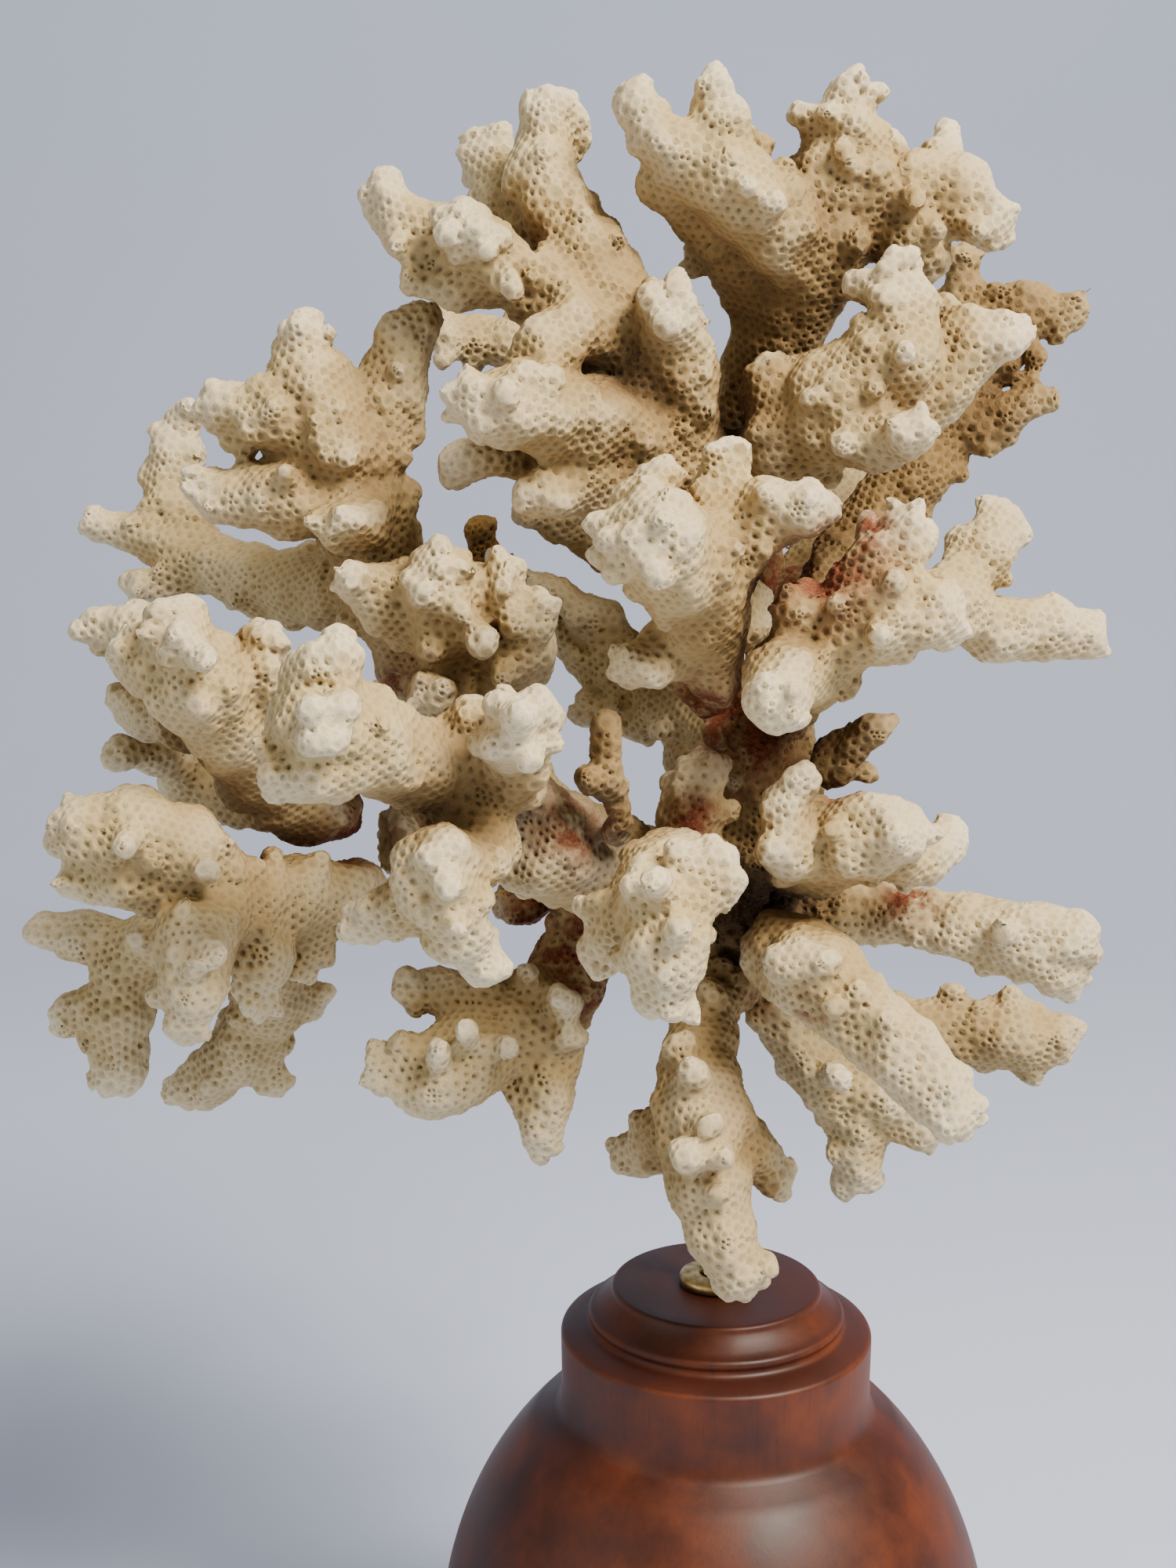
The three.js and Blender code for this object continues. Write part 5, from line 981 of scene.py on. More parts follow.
def sample(points, grid=None):
    """The grid's value at points, between its cells."""
    grid = value if grid is None else grid
    spot = (points - grid_low) / CELL
    corner = np.clip(np.floor(spot).astype(int), 0, grid_size - 2)
    t = (spot - corner)[:, None, :]
    total = 0
    for n in range(8):
        step = np.array([n & 1, (n >> 1) & 1, n >> 2])
        at = corner + step
        weight = np.prod(np.where(step, t[:, 0], 1 - t[:, 0]), axis=-1)
        total = total + weight * grid[at[:, 0], at[:, 1], at[:, 2]]
    return total


def slope(points, step=SLOPE_STEP):
    """Unit direction out of the surface."""
    out = np.stack([sample(points + step * axis) - sample(points - step * axis)
                    for axis in np.eye(3)], -1)
    return out / (np.linalg.norm(out, axis=-1, keepdims=True) + 1e-9)


front_of_trunk = along(trunk_limb, 20)[0][None, :3] + [0, -6, 0]
print("the way out at the trunk's front:", slope(front_of_trunk)[0].round(2).tolist())

# %% [markdown]
# The surface is meshed with one vertex for every cup. Blender's voxel remesh would do it too, but
# it can't be told what lies between branches, so a coarser copy of the grid is turned into quads.
# It has as many points as there are cups. Small patches that touch no branch are dropped.

# %% One vertex for every cup
CUP_STEP = 2  # grid cells between cups
SMALLEST_PATCH = 60  # cups
OFF_SURFACE = 0.8  # mm


def corner_normals(points, faces):
    """The direction that each triangle faces, as long as twice its area."""
    a, b, c = (points[faces[:, k]] for k in range(3))
    return np.cross(b - a, c - a)


def spread(labels, start, end, mask):
    """The smallest label of each patch of points that sides with mask join."""
    while True:
        lowest = labels.copy()
        np.minimum.at(lowest, start[mask], labels[end[mask]])
        lowest = lowest[lowest]
        if (lowest == labels).all():
            return labels
        labels = lowest


coarse = openvdb.FloatGrid(EMPTY)
coarse.copyFromArray(np.ascontiguousarray(value[::CUP_STEP, ::CUP_STEP, ::CUP_STEP]))
raw_points, quads = coarse.convertToQuads(isovalue=0.0)
cups = raw_points.astype(float) * CELL * CUP_STEP + grid_low
quads = quads.astype(np.int64)
faces = np.concatenate([quads[:, [0, 1, 2]], quads[:, [0, 2, 3]]])
if (corner_normals(cups, faces) * slope(cups[faces[:, 0]])).sum() < 0:
    faces = faces[:, ::-1].copy()

every_side = (faces.reshape(-1), faces[:, [1, 2, 0]].reshape(-1))
patch = spread(np.arange(len(cups)), *every_side, slice(None))
kept = np.bincount(patch, minlength=len(cups))[patch] > SMALLEST_PATCH
renumbered = np.cumsum(kept) - 1
faces = renumbered[faces[kept[faces[:, 0]]]]
cups = cups[kept]
off_surface = int((abs(sample(cups)) > OFF_SURFACE).sum())
print("cups", len(cups), "off the surface:", off_surface)

# %% [markdown]
# The grid's own quads are too regular for a living thing, so their halves are evened out like a
# soap film. First, a side between two triangles is flipped where that makes both of them fatter.

# %% Fatter triangles
LEAST_GAIN = 0.01  # radians
LEAST_SPOKES = 4  # sides that meet at a point


def twins(faces, count):
    """For every side of every triangle, the same side in the neighbouring triangle."""
    start = faces.reshape(-1)
    end = faces[:, [1, 2, 0]].reshape(-1)
    key = np.minimum(start, end).astype(np.int64) * count + np.maximum(start, end)
    order = np.lexsort((start > end, key))
    twin = np.empty(len(start), np.int64)
    # A side shared by four triangles is taken in pairs, each of one triangle on either hand.
    forward = order[(start < end)[order]]
    backward = order[(start > end)[order]]
    twin[forward] = backward
    twin[backward] = forward
    return twin, key


def flip(points, faces):
    """Flips each side whose two triangles would be fatter the other way round."""
    twin, key = twins(faces, len(points))
    side = np.arange(len(twin))
    side = side[side < twin]
    other_side = twin[side]
    f, g = side // 3, other_side // 3
    a = faces.reshape(-1)[side]
    b = faces.reshape(-1)[other_side]
    c = faces[f, (side % 3 + 2) % 3]
    d = faces[g, (other_side % 3 + 2) % 3]

    def angle(p, q, r):
        u, v = points[q] - points[p], points[r] - points[p]
        long = np.linalg.norm(u, axis=-1) * np.linalg.norm(v, axis=-1)
        return np.arccos(np.clip((u * v).sum(-1) / (long + 1e-12), -1, 1))

    gain = angle(c, a, b) + angle(d, a, b) - math.pi
    # The new side must not be there yet, and both new triangles must face the old way.
    sorted_keys = np.sort(key)
    new_key = np.minimum(c, d).astype(np.int64) * len(points) + np.maximum(c, d)
    spot = np.clip(np.searchsorted(sorted_keys, new_key), 0, len(sorted_keys) - 1)
    taken = (sorted_keys[spot] == new_key) | (c == d)
    old = np.cross(points[b] - points[a], points[c] - points[a]) + np.cross(
        points[a] - points[b], points[d] - points[b])
    new_1 = np.cross(points[a] - points[c], points[d] - points[c])
    new_2 = np.cross(points[b] - points[d], points[c] - points[d])
    upright = ((new_1 * old).sum(-1) > 0) & ((new_2 * old).sum(-1) > 0)
    spokes = np.bincount(faces.reshape(-1), minlength=len(points))
    enough = (spokes[a] > LEAST_SPOKES) & (spokes[b] > LEAST_SPOKES)
    fine = (gain > LEAST_GAIN) & ~taken & upright & enough
    # A triangle takes part in its best flip alone, and no two flips make the same side.
    best = np.zeros(len(faces))
    np.maximum.at(best, f[fine], gain[fine])
    np.maximum.at(best, g[fine], gain[fine])
    fine &= (gain == best[f]) & (gain == best[g])
    chosen = np.where(fine)[0]
    _, first_of_its_kind = np.unique(new_key[chosen], return_index=True)
    fine[:] = False
    fine[chosen[first_of_its_kind]] = True
    faces = faces.copy()
    faces[f[fine]] = np.stack([c, a, d], -1)[fine]
    faces[g[fine]] = np.stack([d, b, c], -1)[fine]
    return faces, int(fine.sum())


print("sides that are flipped at first:", flip(cups, faces)[1])

# %% [markdown]
# Then each point slides towards the middle of its neighbours, and is put back on the surface. Nine
# rounds of the two leave cups of nearly one size. Just over half of them have six sides, and
# nearly all the others have from four to eight, which looks grown and not made.

# %% Even cups
SLIDE = 0.6  # of the way to the middle of the neighbours
LONGEST_STEP = 0.6  # mm back to the surface in one go
ROUNDS = 9
FLIPS_A_ROUND = 2


def evened(points, faces):
    """Slides each point towards the middle of its neighbours and back on the surface."""
    start = faces.reshape(-1)
    end = faces[:, [1, 2, 0]].reshape(-1)
    count = np.bincount(start, minlength=len(points))[:, None]
    total = np.stack([np.bincount(start, points[end, k], len(points)) for k in range(3)], -1)
    points = points + SLIDE * (total / count - points)
    for _ in range(2):
        back = np.clip(sample(points), -LONGEST_STEP, LONGEST_STEP)
        points = points - back[:, None] * slope(points)
    return points


for turn in range(ROUNDS):
    flips = []
    for _ in range(FLIPS_A_ROUND):
        faces, flipped = flip(cups, faces)
        flips.append(flipped)
    cups = evened(cups, faces)
    if turn in (0, ROUNDS - 1):
        print("round", turn, "flips", flips)
area = np.linalg.norm(corner_normals(cups, faces), axis=-1) / 2
print("surface", int(area.sum()), "mm2, one cup for", round(area.sum() / len(cups), 2), "mm2")
sides_of_cups = np.bincount(faces.reshape(-1), minlength=len(cups))
print("cups with six sides:", round(100 * float((sides_of_cups == 6).mean())), "per cent")

# %% [markdown]
# Worn tips stand out, were rubbed, and are pale with shallow cups. Sheltered hollows were never
# touched, so they kept deep cups and dust. How much coral lies close round a place tells the two
# apart: little round a tip, much round a hollow. It is found by blurring the solid part of the
# grid. The material also paints shade with it, darkest deep in the colony.

# %% How sheltered and how worn each place is
SHELTER_REACH = 7.0  # mm, how far round a place is looked at for coral
WIDE_REACH = 14.0  # mm, the same for its depth in the colony
SOFTENING = 3  # grid cells
CLOSE_OUT, WIDE_OUT = 2.0, 4.0  # mm out of the skin, where the two are read
WEAR_LOW, WEAR_HIGH = 0.1, 0.3  # crowding of a place that is fully worn, and of one not at all
SHARES = [5, 25, 50, 75, 95]  # per cent of the cups, for the printed spreads


def blurred(solid, steps):
    """Box blur of a grid, by running sums along each axis."""
    out = solid.astype(np.float32)
    for axis in range(3):
        padded = np.pad(out, [(steps + 1, steps) if k == axis else (0, 0) for k in range(3)])
        total = np.cumsum(padded, axis=axis, dtype=np.float64)
        upper = np.take(total, np.arange(2 * steps + 1, total.shape[axis]), axis=axis)
        lower = np.take(total, np.arange(0, total.shape[axis] - 2 * steps - 1), axis=axis)
        out = ((upper - lower) / (2 * steps + 1)).astype(np.float32)
    return out


inside = value < 0
near = blurred(inside, round(SHELTER_REACH / CELL))
wide = blurred(blurred(inside, round(WIDE_REACH / CELL)), SOFTENING)
out = slope(cups)
crowding = sample(cups + CLOSE_OUT * out, near)
depth_in_colony = sample(cups + WIDE_OUT * out, wide)
wear = 1 - np.clip((crowding - WEAR_LOW) / (WEAR_HIGH - WEAR_LOW), 0, 1)
print("crowding", np.percentile(crowding, SHARES).round(3))
print("depth in the colony", np.percentile(depth_in_colony, SHARES).round(3))

# %% [markdown]
# A few limbs in front are rubbed smooth though they don't stand out. The rule above can't know
# them, so each is given as a place and how far the rubbing spreads, in millimetres.

# %% Rubbed places
RUBBED = [
    (-31, -19, 180, 9),
    (-25, -28, 177, 9),
    (-32, -48, 189, 7),
    (-3, -25, 137, 7),
    (-1, -28, 122, 7),
    (-4, -33, 132, 7),
    (19, -22, 149, 8),
    (25, -37, 145, 8),
    (40, -12, 157, 8),
    (-18, -24, 172, 6),
]
RUBBED_WEAR = 0.6

for x, y, z, spread_mm in RUBBED:
    away = np.linalg.norm(cups - np.array([x, y, z]), axis=-1)
    wear = np.maximum(wear, RUBBED_WEAR * np.clip(2.0 - 1.4 * away / spread_mm, 0, 1))
print("worn cups", int((wear > RUBBED_WEAR / 2).sum()), "of", len(cups))

# %% [markdown]
# The frame holds the coral as a trunk and its branches, each a solid of its own, and each must get
# its own piece of the surface. So every cup goes to the solid that it lies nearest to. Small
# islands in a neighbour's ground are given up to it, so that the pieces have clean borders.

# %% Which solid each cup belongs to
ISLAND_ROUNDS = 6

coral_nodes = sorted(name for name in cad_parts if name.startswith("coral_"))
tree_points, tree_faces, tree_node = [], [], []
for number, name in enumerate(coral_nodes):
    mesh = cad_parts[name].data
    mesh.calc_loop_triangles()
    first_point = len(tree_points)
    tree_points += [v.co / MM for v in mesh.vertices]
    tree_faces += [[first_point + v for v in t.vertices] for t in mesh.loop_triangles]
    tree_node += [number] * len(mesh.loop_triangles)
solids = BVHTree.FromPolygons(tree_points, tree_faces)
cup_node = np.array([tree_node[solids.find_nearest(Vector(p))[2]] for p in cups])

side_start = faces.reshape(-1)
side_end = faces[:, [1, 2, 0]].reshape(-1)
for _ in range(ISLAND_ROUNDS):
    same = cup_node[side_start] == cup_node[side_end]
    patch = spread(np.arange(len(cups)), side_start, side_end, same)
    size = np.bincount(patch, minlength=len(cups))[patch]
    stray = (size[side_start] < SMALLEST_PATCH) & (size[side_end] >= SMALLEST_PATCH)
    cup_node[side_start[stray]] = cup_node[side_end[stray]]
print("cups on each solid:", dict(zip(coral_nodes, np.bincount(cup_node).tolist())))

# %% [markdown]
# Some thin fingers and the branches behind are tan rather than white, from old algae. How tan each
# one is runs from 0 to 1. A border between two pieces would show as a line, so the tone is
# averaged over the neighbouring cups a dozen times.

# %% Tan branches
TAN = {
    "brown_finger": 1.0,
    "twigs": 0.7,
    "back_right_branch": 0.6,
    "small_fork": 0.55,
    "back_left_arm": 0.35,
    "back_low_arm": 0.35,
    "back_upper_branch": 0.3,
    "back_right_arm": 0.3,
    "right_back_finger": 0.25,
    "down_arm": 0.2,
}
TAN_ROUNDS = 12
UNRUBBED = 0.7  # the share of its wear that a tan cup loses

tan = np.array([TAN.get(name.replace("coral_", ""), 0.0) for name in coral_nodes])[cup_node]
neighbours = np.bincount(side_start, minlength=len(cups))
for _ in range(TAN_ROUNDS):
    tan = np.bincount(side_start, tan[side_end], len(cups)) / neighbours
wear *= 1 - UNRUBBED * tan
print("tan cups", int((tan > 0.5).sum()))

# %% [markdown]
# Each triangle's middle is now a corner where three cups meet. Round every cup those corners make
# its outer edge, a ring further in makes the raised rim, and one point makes the pit's bottom. In
# the real thing no two cups are alike, so each one's width, depth and height are drawn at random,
# always from the same seed.

# %% Corners, rims and pits
RIM_SHARE = 0.66  # the rim's ring, from the cup's middle to its corners
RIM_RISE = 0.10  # mm
PIT_DEPTH = 0.75  # mm, in a sheltered cup
WORN_DEPTH = 0.42  # mm
UNEVENNESS = 0.22  # mm, how far cups stand in or out
MOST_UNEVEN = 2  # times that
JITTER = 0.02  # mm, so that no two points are one
CORNER_STEP = 0.4  # mm, the most that a corner is moved to the surface

random = np.random.default_rng(11)
cups = cups + random.normal(0, JITTER, cups.shape)
side = np.arange(len(faces) * 3)
cup_of = side_start
corner_place = cups[faces].mean(1)
to_surface = np.clip(sample(corner_place), -CORNER_STEP, CORNER_STEP)
corner_place -= to_surface[:, None] * slope(corner_place)
jut = UNEVENNESS * np.clip(random.standard_normal(len(cups)), -MOST_UNEVEN, MOST_UNEVEN)
corner_place += out[faces].mean(1) * jut[faces].mean(1)[:, None]
# The factors with random in them make each cup a little unlike the next.
share = RIM_SHARE * (0.82 + 0.36 * random.random(len(cups)))
pit_depth = WORN_DEPTH + (PIT_DEPTH - WORN_DEPTH) * (1 - wear) ** 0.8
pit_depth = pit_depth * (0.7 + 0.6 * random.random(len(cups)))
rise = RIM_RISE * (0.4 + 0.6 * (1 - wear)) * (0.5 + random.random(len(cups)))
centre = cups + out * jut[:, None]
rim_place = centre[cup_of] + (corner_place[side // 3] - centre[cup_of]) * share[cup_of, None]
rim_place += out[cup_of] * rise[cup_of, None]
pit_place = centre - out * pit_depth[:, None]
points = np.concatenate([corner_place, rim_place, pit_place])
print("corners", len(corner_place), "rim points", len(rim_place), "pits", len(pit_place))
print("depth of the pits", np.percentile(pit_depth, SHARES).round(2), "mm")

# %% [markdown]
# Between two neighbouring corners of a cup lie three triangles: two from the edge up to the rim,
# and one from the rim down into the pit. With six corners that is 18 triangles a cup, which keeps
# the whole colony under a million.

# %% Triangles of the cups
twin, _ = twins(faces, len(cups))
previous = side - side % 3 + (side % 3 + 2) % 3
next_corner = twin[previous]  # the same cup's corner in the next triangle round it
rim_index = len(faces) + side
pit_index = len(faces) + len(side) + cup_of
here, there = side // 3, next_corner // 3
strip = np.stack([
    np.stack([here, there, rim_index[next_corner]], -1),
    np.stack([here, rim_index[next_corner], rim_index], -1),
    np.stack([rim_index, rim_index[next_corner], pit_index], -1),
], 1)
facing = corner_normals(points, strip[:, 0])
turned = (facing * out[cup_of]).sum(-1)
if np.median(turned) < 0:
    strip = strip[:, :, ::-1]
print("points", len(points), "triangles", strip.shape[0] * 3)
print("faces turned in:", float((turned < 0).mean()))

# %% [markdown]
# The colony is one growth, so its shading is worked out on the whole surface before that is handed
# out. Otherwise a fine line would show wherever two pieces meet. The same goes for what the
# material reads: how deep in a pit, how worn and how sheltered each point is.

# %% Shading directions and surface values
CORNER_DUST_AND_SHADE = 0.12  # at a corner between cups, where a pit's bottom has 1 and a rim none
DUST_AND_SHADE_RUBBED_OFF = 0.4  # the share of its dust and painted shade that a worn cup has lost


def shading(points, triangles):
    """The unit direction that each point's shading takes, from the triangles round it."""
    face = corner_normals(points, triangles)
    total = np.zeros_like(points)
    for k in range(3):
        for axis in range(3):
            total[:, axis] += np.bincount(triangles[:, k], face[:, axis], len(points))
    return total / (np.linalg.norm(total, axis=-1, keepdims=True) + 1e-12)


def on_points(values):
    """A value of the cups, handed on to their corners, rims and pits."""
    return np.concatenate([values[faces].mean(1), values[cup_of], values])


shade_direction = shading(points, strip.reshape(-1, 3))
point_cup = np.concatenate([faces[:, 0], cup_of, np.arange(len(cups))])
# How dark each point is painted in its cup, with dust and painted shade: most at a pit's bottom,
# none on a rim.
dust_and_shade = np.concatenate([np.full(len(faces), CORNER_DUST_AND_SHADE), np.zeros(len(side)), np.ones(len(cups))])
surface_values = {
    "pit": dust_and_shade * (1 - DUST_AND_SHADE_RUBBED_OFF * wear[point_cup]),
    "wear": on_points(wear),
    "shelter": on_points(depth_in_colony),
    "crowding": on_points(crowding),
}
for key, numbers in surface_values.items():
    print(key, np.percentile(numbers, SHARES).round(2))

# %% [markdown]
# A piece cut out of the surface is open where it met its neighbours. Blender can fill such holes,
# but a fan from one new point in the middle of each is simpler and always closes them, so that
# every piece is a closed body. The fans lie inside the coral, out of sight.

# %% Fans over the open edges
def closed_fans(triangles, places):
    """Fans that close the open edges of a patch, each from a point in the middle of its loop."""
    start = triangles.reshape(-1)
    end = triangles[:, [1, 2, 0]].reshape(-1)
    count = len(places)
    there_key = start.astype(np.int64) * count + end
    back_key = end.astype(np.int64) * count + start
    open_side = ~np.isin(there_key, back_key)
    following = dict(zip(start[open_side].tolist(), end[open_side].tolist()))
    fans, middles = [], []
    while following:
        begin, at = following.popitem()
        loop = [begin]
        while at != begin and at in following:
            loop.append(at)
            at = following.pop(at)
        middles.append(places[loop].mean(0))
        tip = count + len(middles) - 1
        fans += [[b, a, tip] for a, b in zip(loop, loop[1:] + loop[:1])]
    return np.array(fans, np.int64).reshape(-1, 3), np.array(middles).reshape(-1, 3)


one_triangle = closed_fans(np.array([[0, 1, 2]]), np.eye(3))
print("the fan behind a single triangle has", len(one_triangle[0]), "triangles")

# %% [markdown]
# Every cup goes to the piece of the solid that it lies on. The piece takes that solid's place in
# the frame, rides on the same body, and is filled straight from numpy, which is far quicker for
# tens of thousands of triangles than adding them one by one.

# %% One piece for each solid
def mesh_object(name, places, triangles, directions, values, material, node_name):
    """A mesh in millimetres as a piece of the frame, with its shading and its surface values."""
    mesh = bpy.data.meshes.new(name)
    mesh.vertices.add(len(places))
    mesh.vertices.foreach_set("co", (places * MM).astype(np.float32).ravel())
    mesh.loops.add(len(triangles) * 3)
    mesh.loops.foreach_set("vertex_index", triangles.astype(np.int32).ravel())
    mesh.polygons.add(len(triangles))
    first_loops = np.arange(0, len(triangles) * 3, 3, dtype=np.int32)
    mesh.polygons.foreach_set("loop_start", first_loops)
    mesh.polygons.foreach_set("use_smooth", np.ones(len(triangles), bool))
    for key, numbers in values.items():
        layer = mesh.attributes.new(key, "FLOAT", "POINT")
        layer.data.foreach_set("value", numbers.astype(np.float32))
    mesh.update(calc_edges=True)
    mesh.validate()
    mesh.normals_split_custom_set_from_vertices(directions.tolist())
    mesh.materials.append(material)
    made = bpy.data.objects.new(name, mesh)
    bpy.context.scene.collection.objects.link(made)
    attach(made, "root")
    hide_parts(node_name)
    return made


def coral_piece(number, material):
    """The part of the surface that belongs to one solid, closed by its fans."""
    mine = strip[cup_node[cup_of] == number].reshape(-1, 3)
    used, inverse = np.unique(mine, return_inverse=True)
    triangles = inverse.reshape(-1, 3)
    fans, middles = closed_fans(triangles, points[used])
    places = np.concatenate([points[used], middles])
    up = np.tile([0.0, 0.0, 1.0], (len(middles), 1))
    directions = np.concatenate([shade_direction[used], up])
    filler = np.zeros(len(middles))
    values = {key: np.concatenate([numbers[used], filler])
              for key, numbers in surface_values.items()}
    solid = coral_nodes[number]
    name = solid.replace("coral_", "grown_")
    return mesh_object(name, places, np.concatenate([triangles, fans]), directions, values,
                       material, solid)


trunk_cups = cup_node == coral_nodes.index("coral_trunk")
print("triangles on the trunk, without its fans:", 3 * int(trunk_cups[cup_of].sum()))

# %% [markdown]
# The skeleton is aragonite, the same lime as chalk, grown by the polyps cup by cup: matt, finely
# grained and nearly white where it is bare. Years of dust have settled in the cups and hollows, so
# those are tan to brown, and painted shade darkens them further. Painting that by hand would take
# days and would have to be done again after every change. Here the shader reads how deep, worn and
# sheltered a place is from the surface itself, so the colours, painted shade included, follow the
# form in every view.

# %% Aragonite
# What it gives the eye: no gloss, a sandy grain, and pale tips over hollows dark with dust and
# painted shade.
DUST_CLOUD = 9 * MM
AGED_PATCH = 14 * MM
RUST_PATCH = 3.5 * MM
RUST_TONE = 1.8 * MM
GRAIN = 0.35 * MM  # really 0.1 to 0.3 mm, drawn coarser so that it shows at this distance
GRAIN_HEIGHT = 0.15 * MM
# From bare to the deepest hollow: dust, and painted shade that goes nearly black deep in the
# colony.
DUST_AND_SHADE_RAMP = [(0.0, "#d8c79b"), (0.25, "#c9b381"), (0.5, "#ab9160"), (0.72, "#7d6136"),
          (0.9, "#50351c"), (1.0, "#2b180d")]
COLOUR = {"data_type": "RGBA"}  # a Mix node for colours: inputs 6 and 7, output 2


def aragonite():
    material, tree, output = new_material("aragonite_skeleton")
    place = (node(tree, "TexCoord"), "Object")
    shelter, crowded, wear, pit, rust, tan = [
        (node(tree, "Attribute", {"attribute_name": name}), "Fac")
        for name in ("shelter", "crowding", "wear", "pit", "rust", "tan")]
    # Dust and painted shade darken the surface where it is sheltered or crowded, the dust in soft
    # clouds.
    cloud = node(tree, "TexNoise", Vector=place, Scale=1 / DUST_CLOUD, Detail=4.0)
    dust_and_shade = node(tree, "Math", {"operation": "MULTIPLY_ADD"}, i0=cloud, i1=0.3, i2=shelter)
    dust_and_shade = node(tree, "Math", {"operation": "MULTIPLY_ADD"}, i0=crowded, i1=0.35, i2=dust_and_shade)
    dust_and_shade = node(tree, "Math", {"operation": "MULTIPLY_ADD"}, i0=tan, i1=0.3, i2=dust_and_shade)
    hollow = node(tree, "MapRange", Value=dust_and_shade, From_Min=0.18, From_Max=0.8)
    dust_and_shade_colour = node(tree, "ValToRGB", {"stops": DUST_AND_SHADE_RAMP}, i0=hollow)
    # Worn tips are bare and nearly white, with yellowed patches.
    bareness = node(tree, "MapRange", Value=wear, From_Min=0.2, From_Max=1.0, To_Max=0.7)
    bare = node(tree, "Mix", COLOUR, i0=bareness, i6=dust_and_shade_colour, i7="#e8dab9")
    yellow = node(tree, "TexNoise", Vector=place, Scale=1 / AGED_PATCH, Detail=3.0)
    aged = node(tree, "MapRange", Value=yellow, From_Min=0.5, From_Max=0.72, To_Max=0.4)
    bare = node(tree, "Mix", COLOUR, i0=aged, i6=(bare, 2), i7="#b89a60")
    # The cups hold dust and painted shade, darker where it's deep in the colony.
    cup_dust_and_shade = node(tree, "Mix", COLOUR, i0=hollow, i6="#b39c70", i7="#382213")
    cup_share = node(tree, "Math", {"operation": "MULTIPLY"}, i0=pit, i1=0.85)
    dust_and_pit_shade = node(tree, "Mix", COLOUR, i0=cup_share, i6=(bare, 2), i7=(cup_dust_and_shade, 2))
    # Old algae leave a few thin fingers and the branches behind tan.
    tanned = node(tree, "Mix", {**COLOUR, "blend_type": "MULTIPLY"}, i0=tan, i6=(dust_and_pit_shade, 2),
                  i7="#b39b62")
    # Rust comes in small patches of two tones.
    patches = node(tree, "TexNoise", Vector=place, Scale=1 / RUST_PATCH, Detail=4.0, Roughness=0.6)
    patch_share = node(tree, "MapRange", Value=patches, From_Min=0.34, From_Max=0.54)
    rust_share = node(tree, "Math", {"operation": "MULTIPLY"}, i0=rust, i1=patch_share)
    rust_tone = node(tree, "TexNoise", Vector=place, Scale=1 / RUST_TONE, Detail=3.0)
    rust_colour = node(tree, "Mix", COLOUR, i0=rust_tone, i6="#8a4424", i7="#431207")
    stained = node(tree, "Mix", COLOUR, i0=rust_share, i6=(tanned, 2), i7=(rust_colour, 2))
    # The grain darkens the lime in specks and makes it a little rough.
    grains = node(tree, "TexNoise", Vector=place, Scale=1 / GRAIN, Detail=3.0)
    speckle = node(tree, "MapRange", Value=grains, From_Min=0.45, From_Max=0.75, To_Max=0.35)
    colour = node(tree, "Mix", COLOUR, i0=speckle, i6=(stained, 2), i7="#94815f")
    bump = node(tree, "Bump", Strength=0.5, Distance=GRAIN_HEIGHT, Height=grains)
    shader = node(tree, "BsdfPrincipled", Base_Color=(colour, 2), Roughness=0.86, IOR=1.53,
                  Specular_IOR_Level=0.3, Normal=bump)
    tree.links.new(shader.outputs[0], output.inputs[0])
    return material


skeleton = aragonite()
print(skeleton.name, "has", len(skeleton.node_tree.nodes), "nodes")

# %% [markdown]
# Rusty stains run from a few forks, where iron settled out of the water. Noise alone would put
# them anywhere, so each is given as a place on the coral and how far it spreads, in millimetres.

# %% Stains
STAINS = [
    (-54, 3, 169, 7),
    (-25, 4, 152, 8),
    (-22, -3, 153, 7),
    (-21, -27, 176, 5),
    (-18, -4, 147, 6),
    (12, 35, 203, 8),
    (12, -28, 210, 8),
    (-2, -18, 190, 8),
    (2, -4, 185, 8),
    (8, 12, 205, 6),
    (15, -21, 179, 3),
    (27, -2, 160, 4),
    (0, 1, 143, 7),
    (-1, 6, 147, 5),
    (10, -29, 152, 2.5),
    (-43, -12, 190, 5),
    (-47, 8, 189, 5),
    (-27, 7, 155, 6),
    (15, -28, 213, 6),
    (-39, -31, 174, 6),
    (-5, -26, 176, 4),
    (4, -7, 183, 5),
]


def staining(places):
    """How rusty each place is, from 0 to 1."""
    total = np.zeros(len(places))
    for x, y, z, spread_mm in STAINS:
        away = np.linalg.norm(places - np.array([x, y, z]), axis=-1)
        total = np.maximum(total, np.clip(1.5 - away / spread_mm, 0, 1))
    return total


surface_values["rust"] = staining(points)
surface_values["tan"] = on_points(tan)
print("stains", len(STAINS), "on", int((surface_values["rust"] > 0.5).sum()), "points")

# %% [markdown]
# Now every solid of the coral gets its piece, with all its values in place.

# %% Hand the surface out
for number in range(len(coral_nodes)):
    made = coral_piece(number, skeleton)
    print(made.name, len(made.data.polygons), end="; ")
print()

# %% [markdown]
# The stand, the rosette and the rod are all round. The stand was turned on a lathe from one block.
# Blender's Screw modifier turns a profile too, but a short function gives full control over the
# points on the axis, so there are no triangles without area.

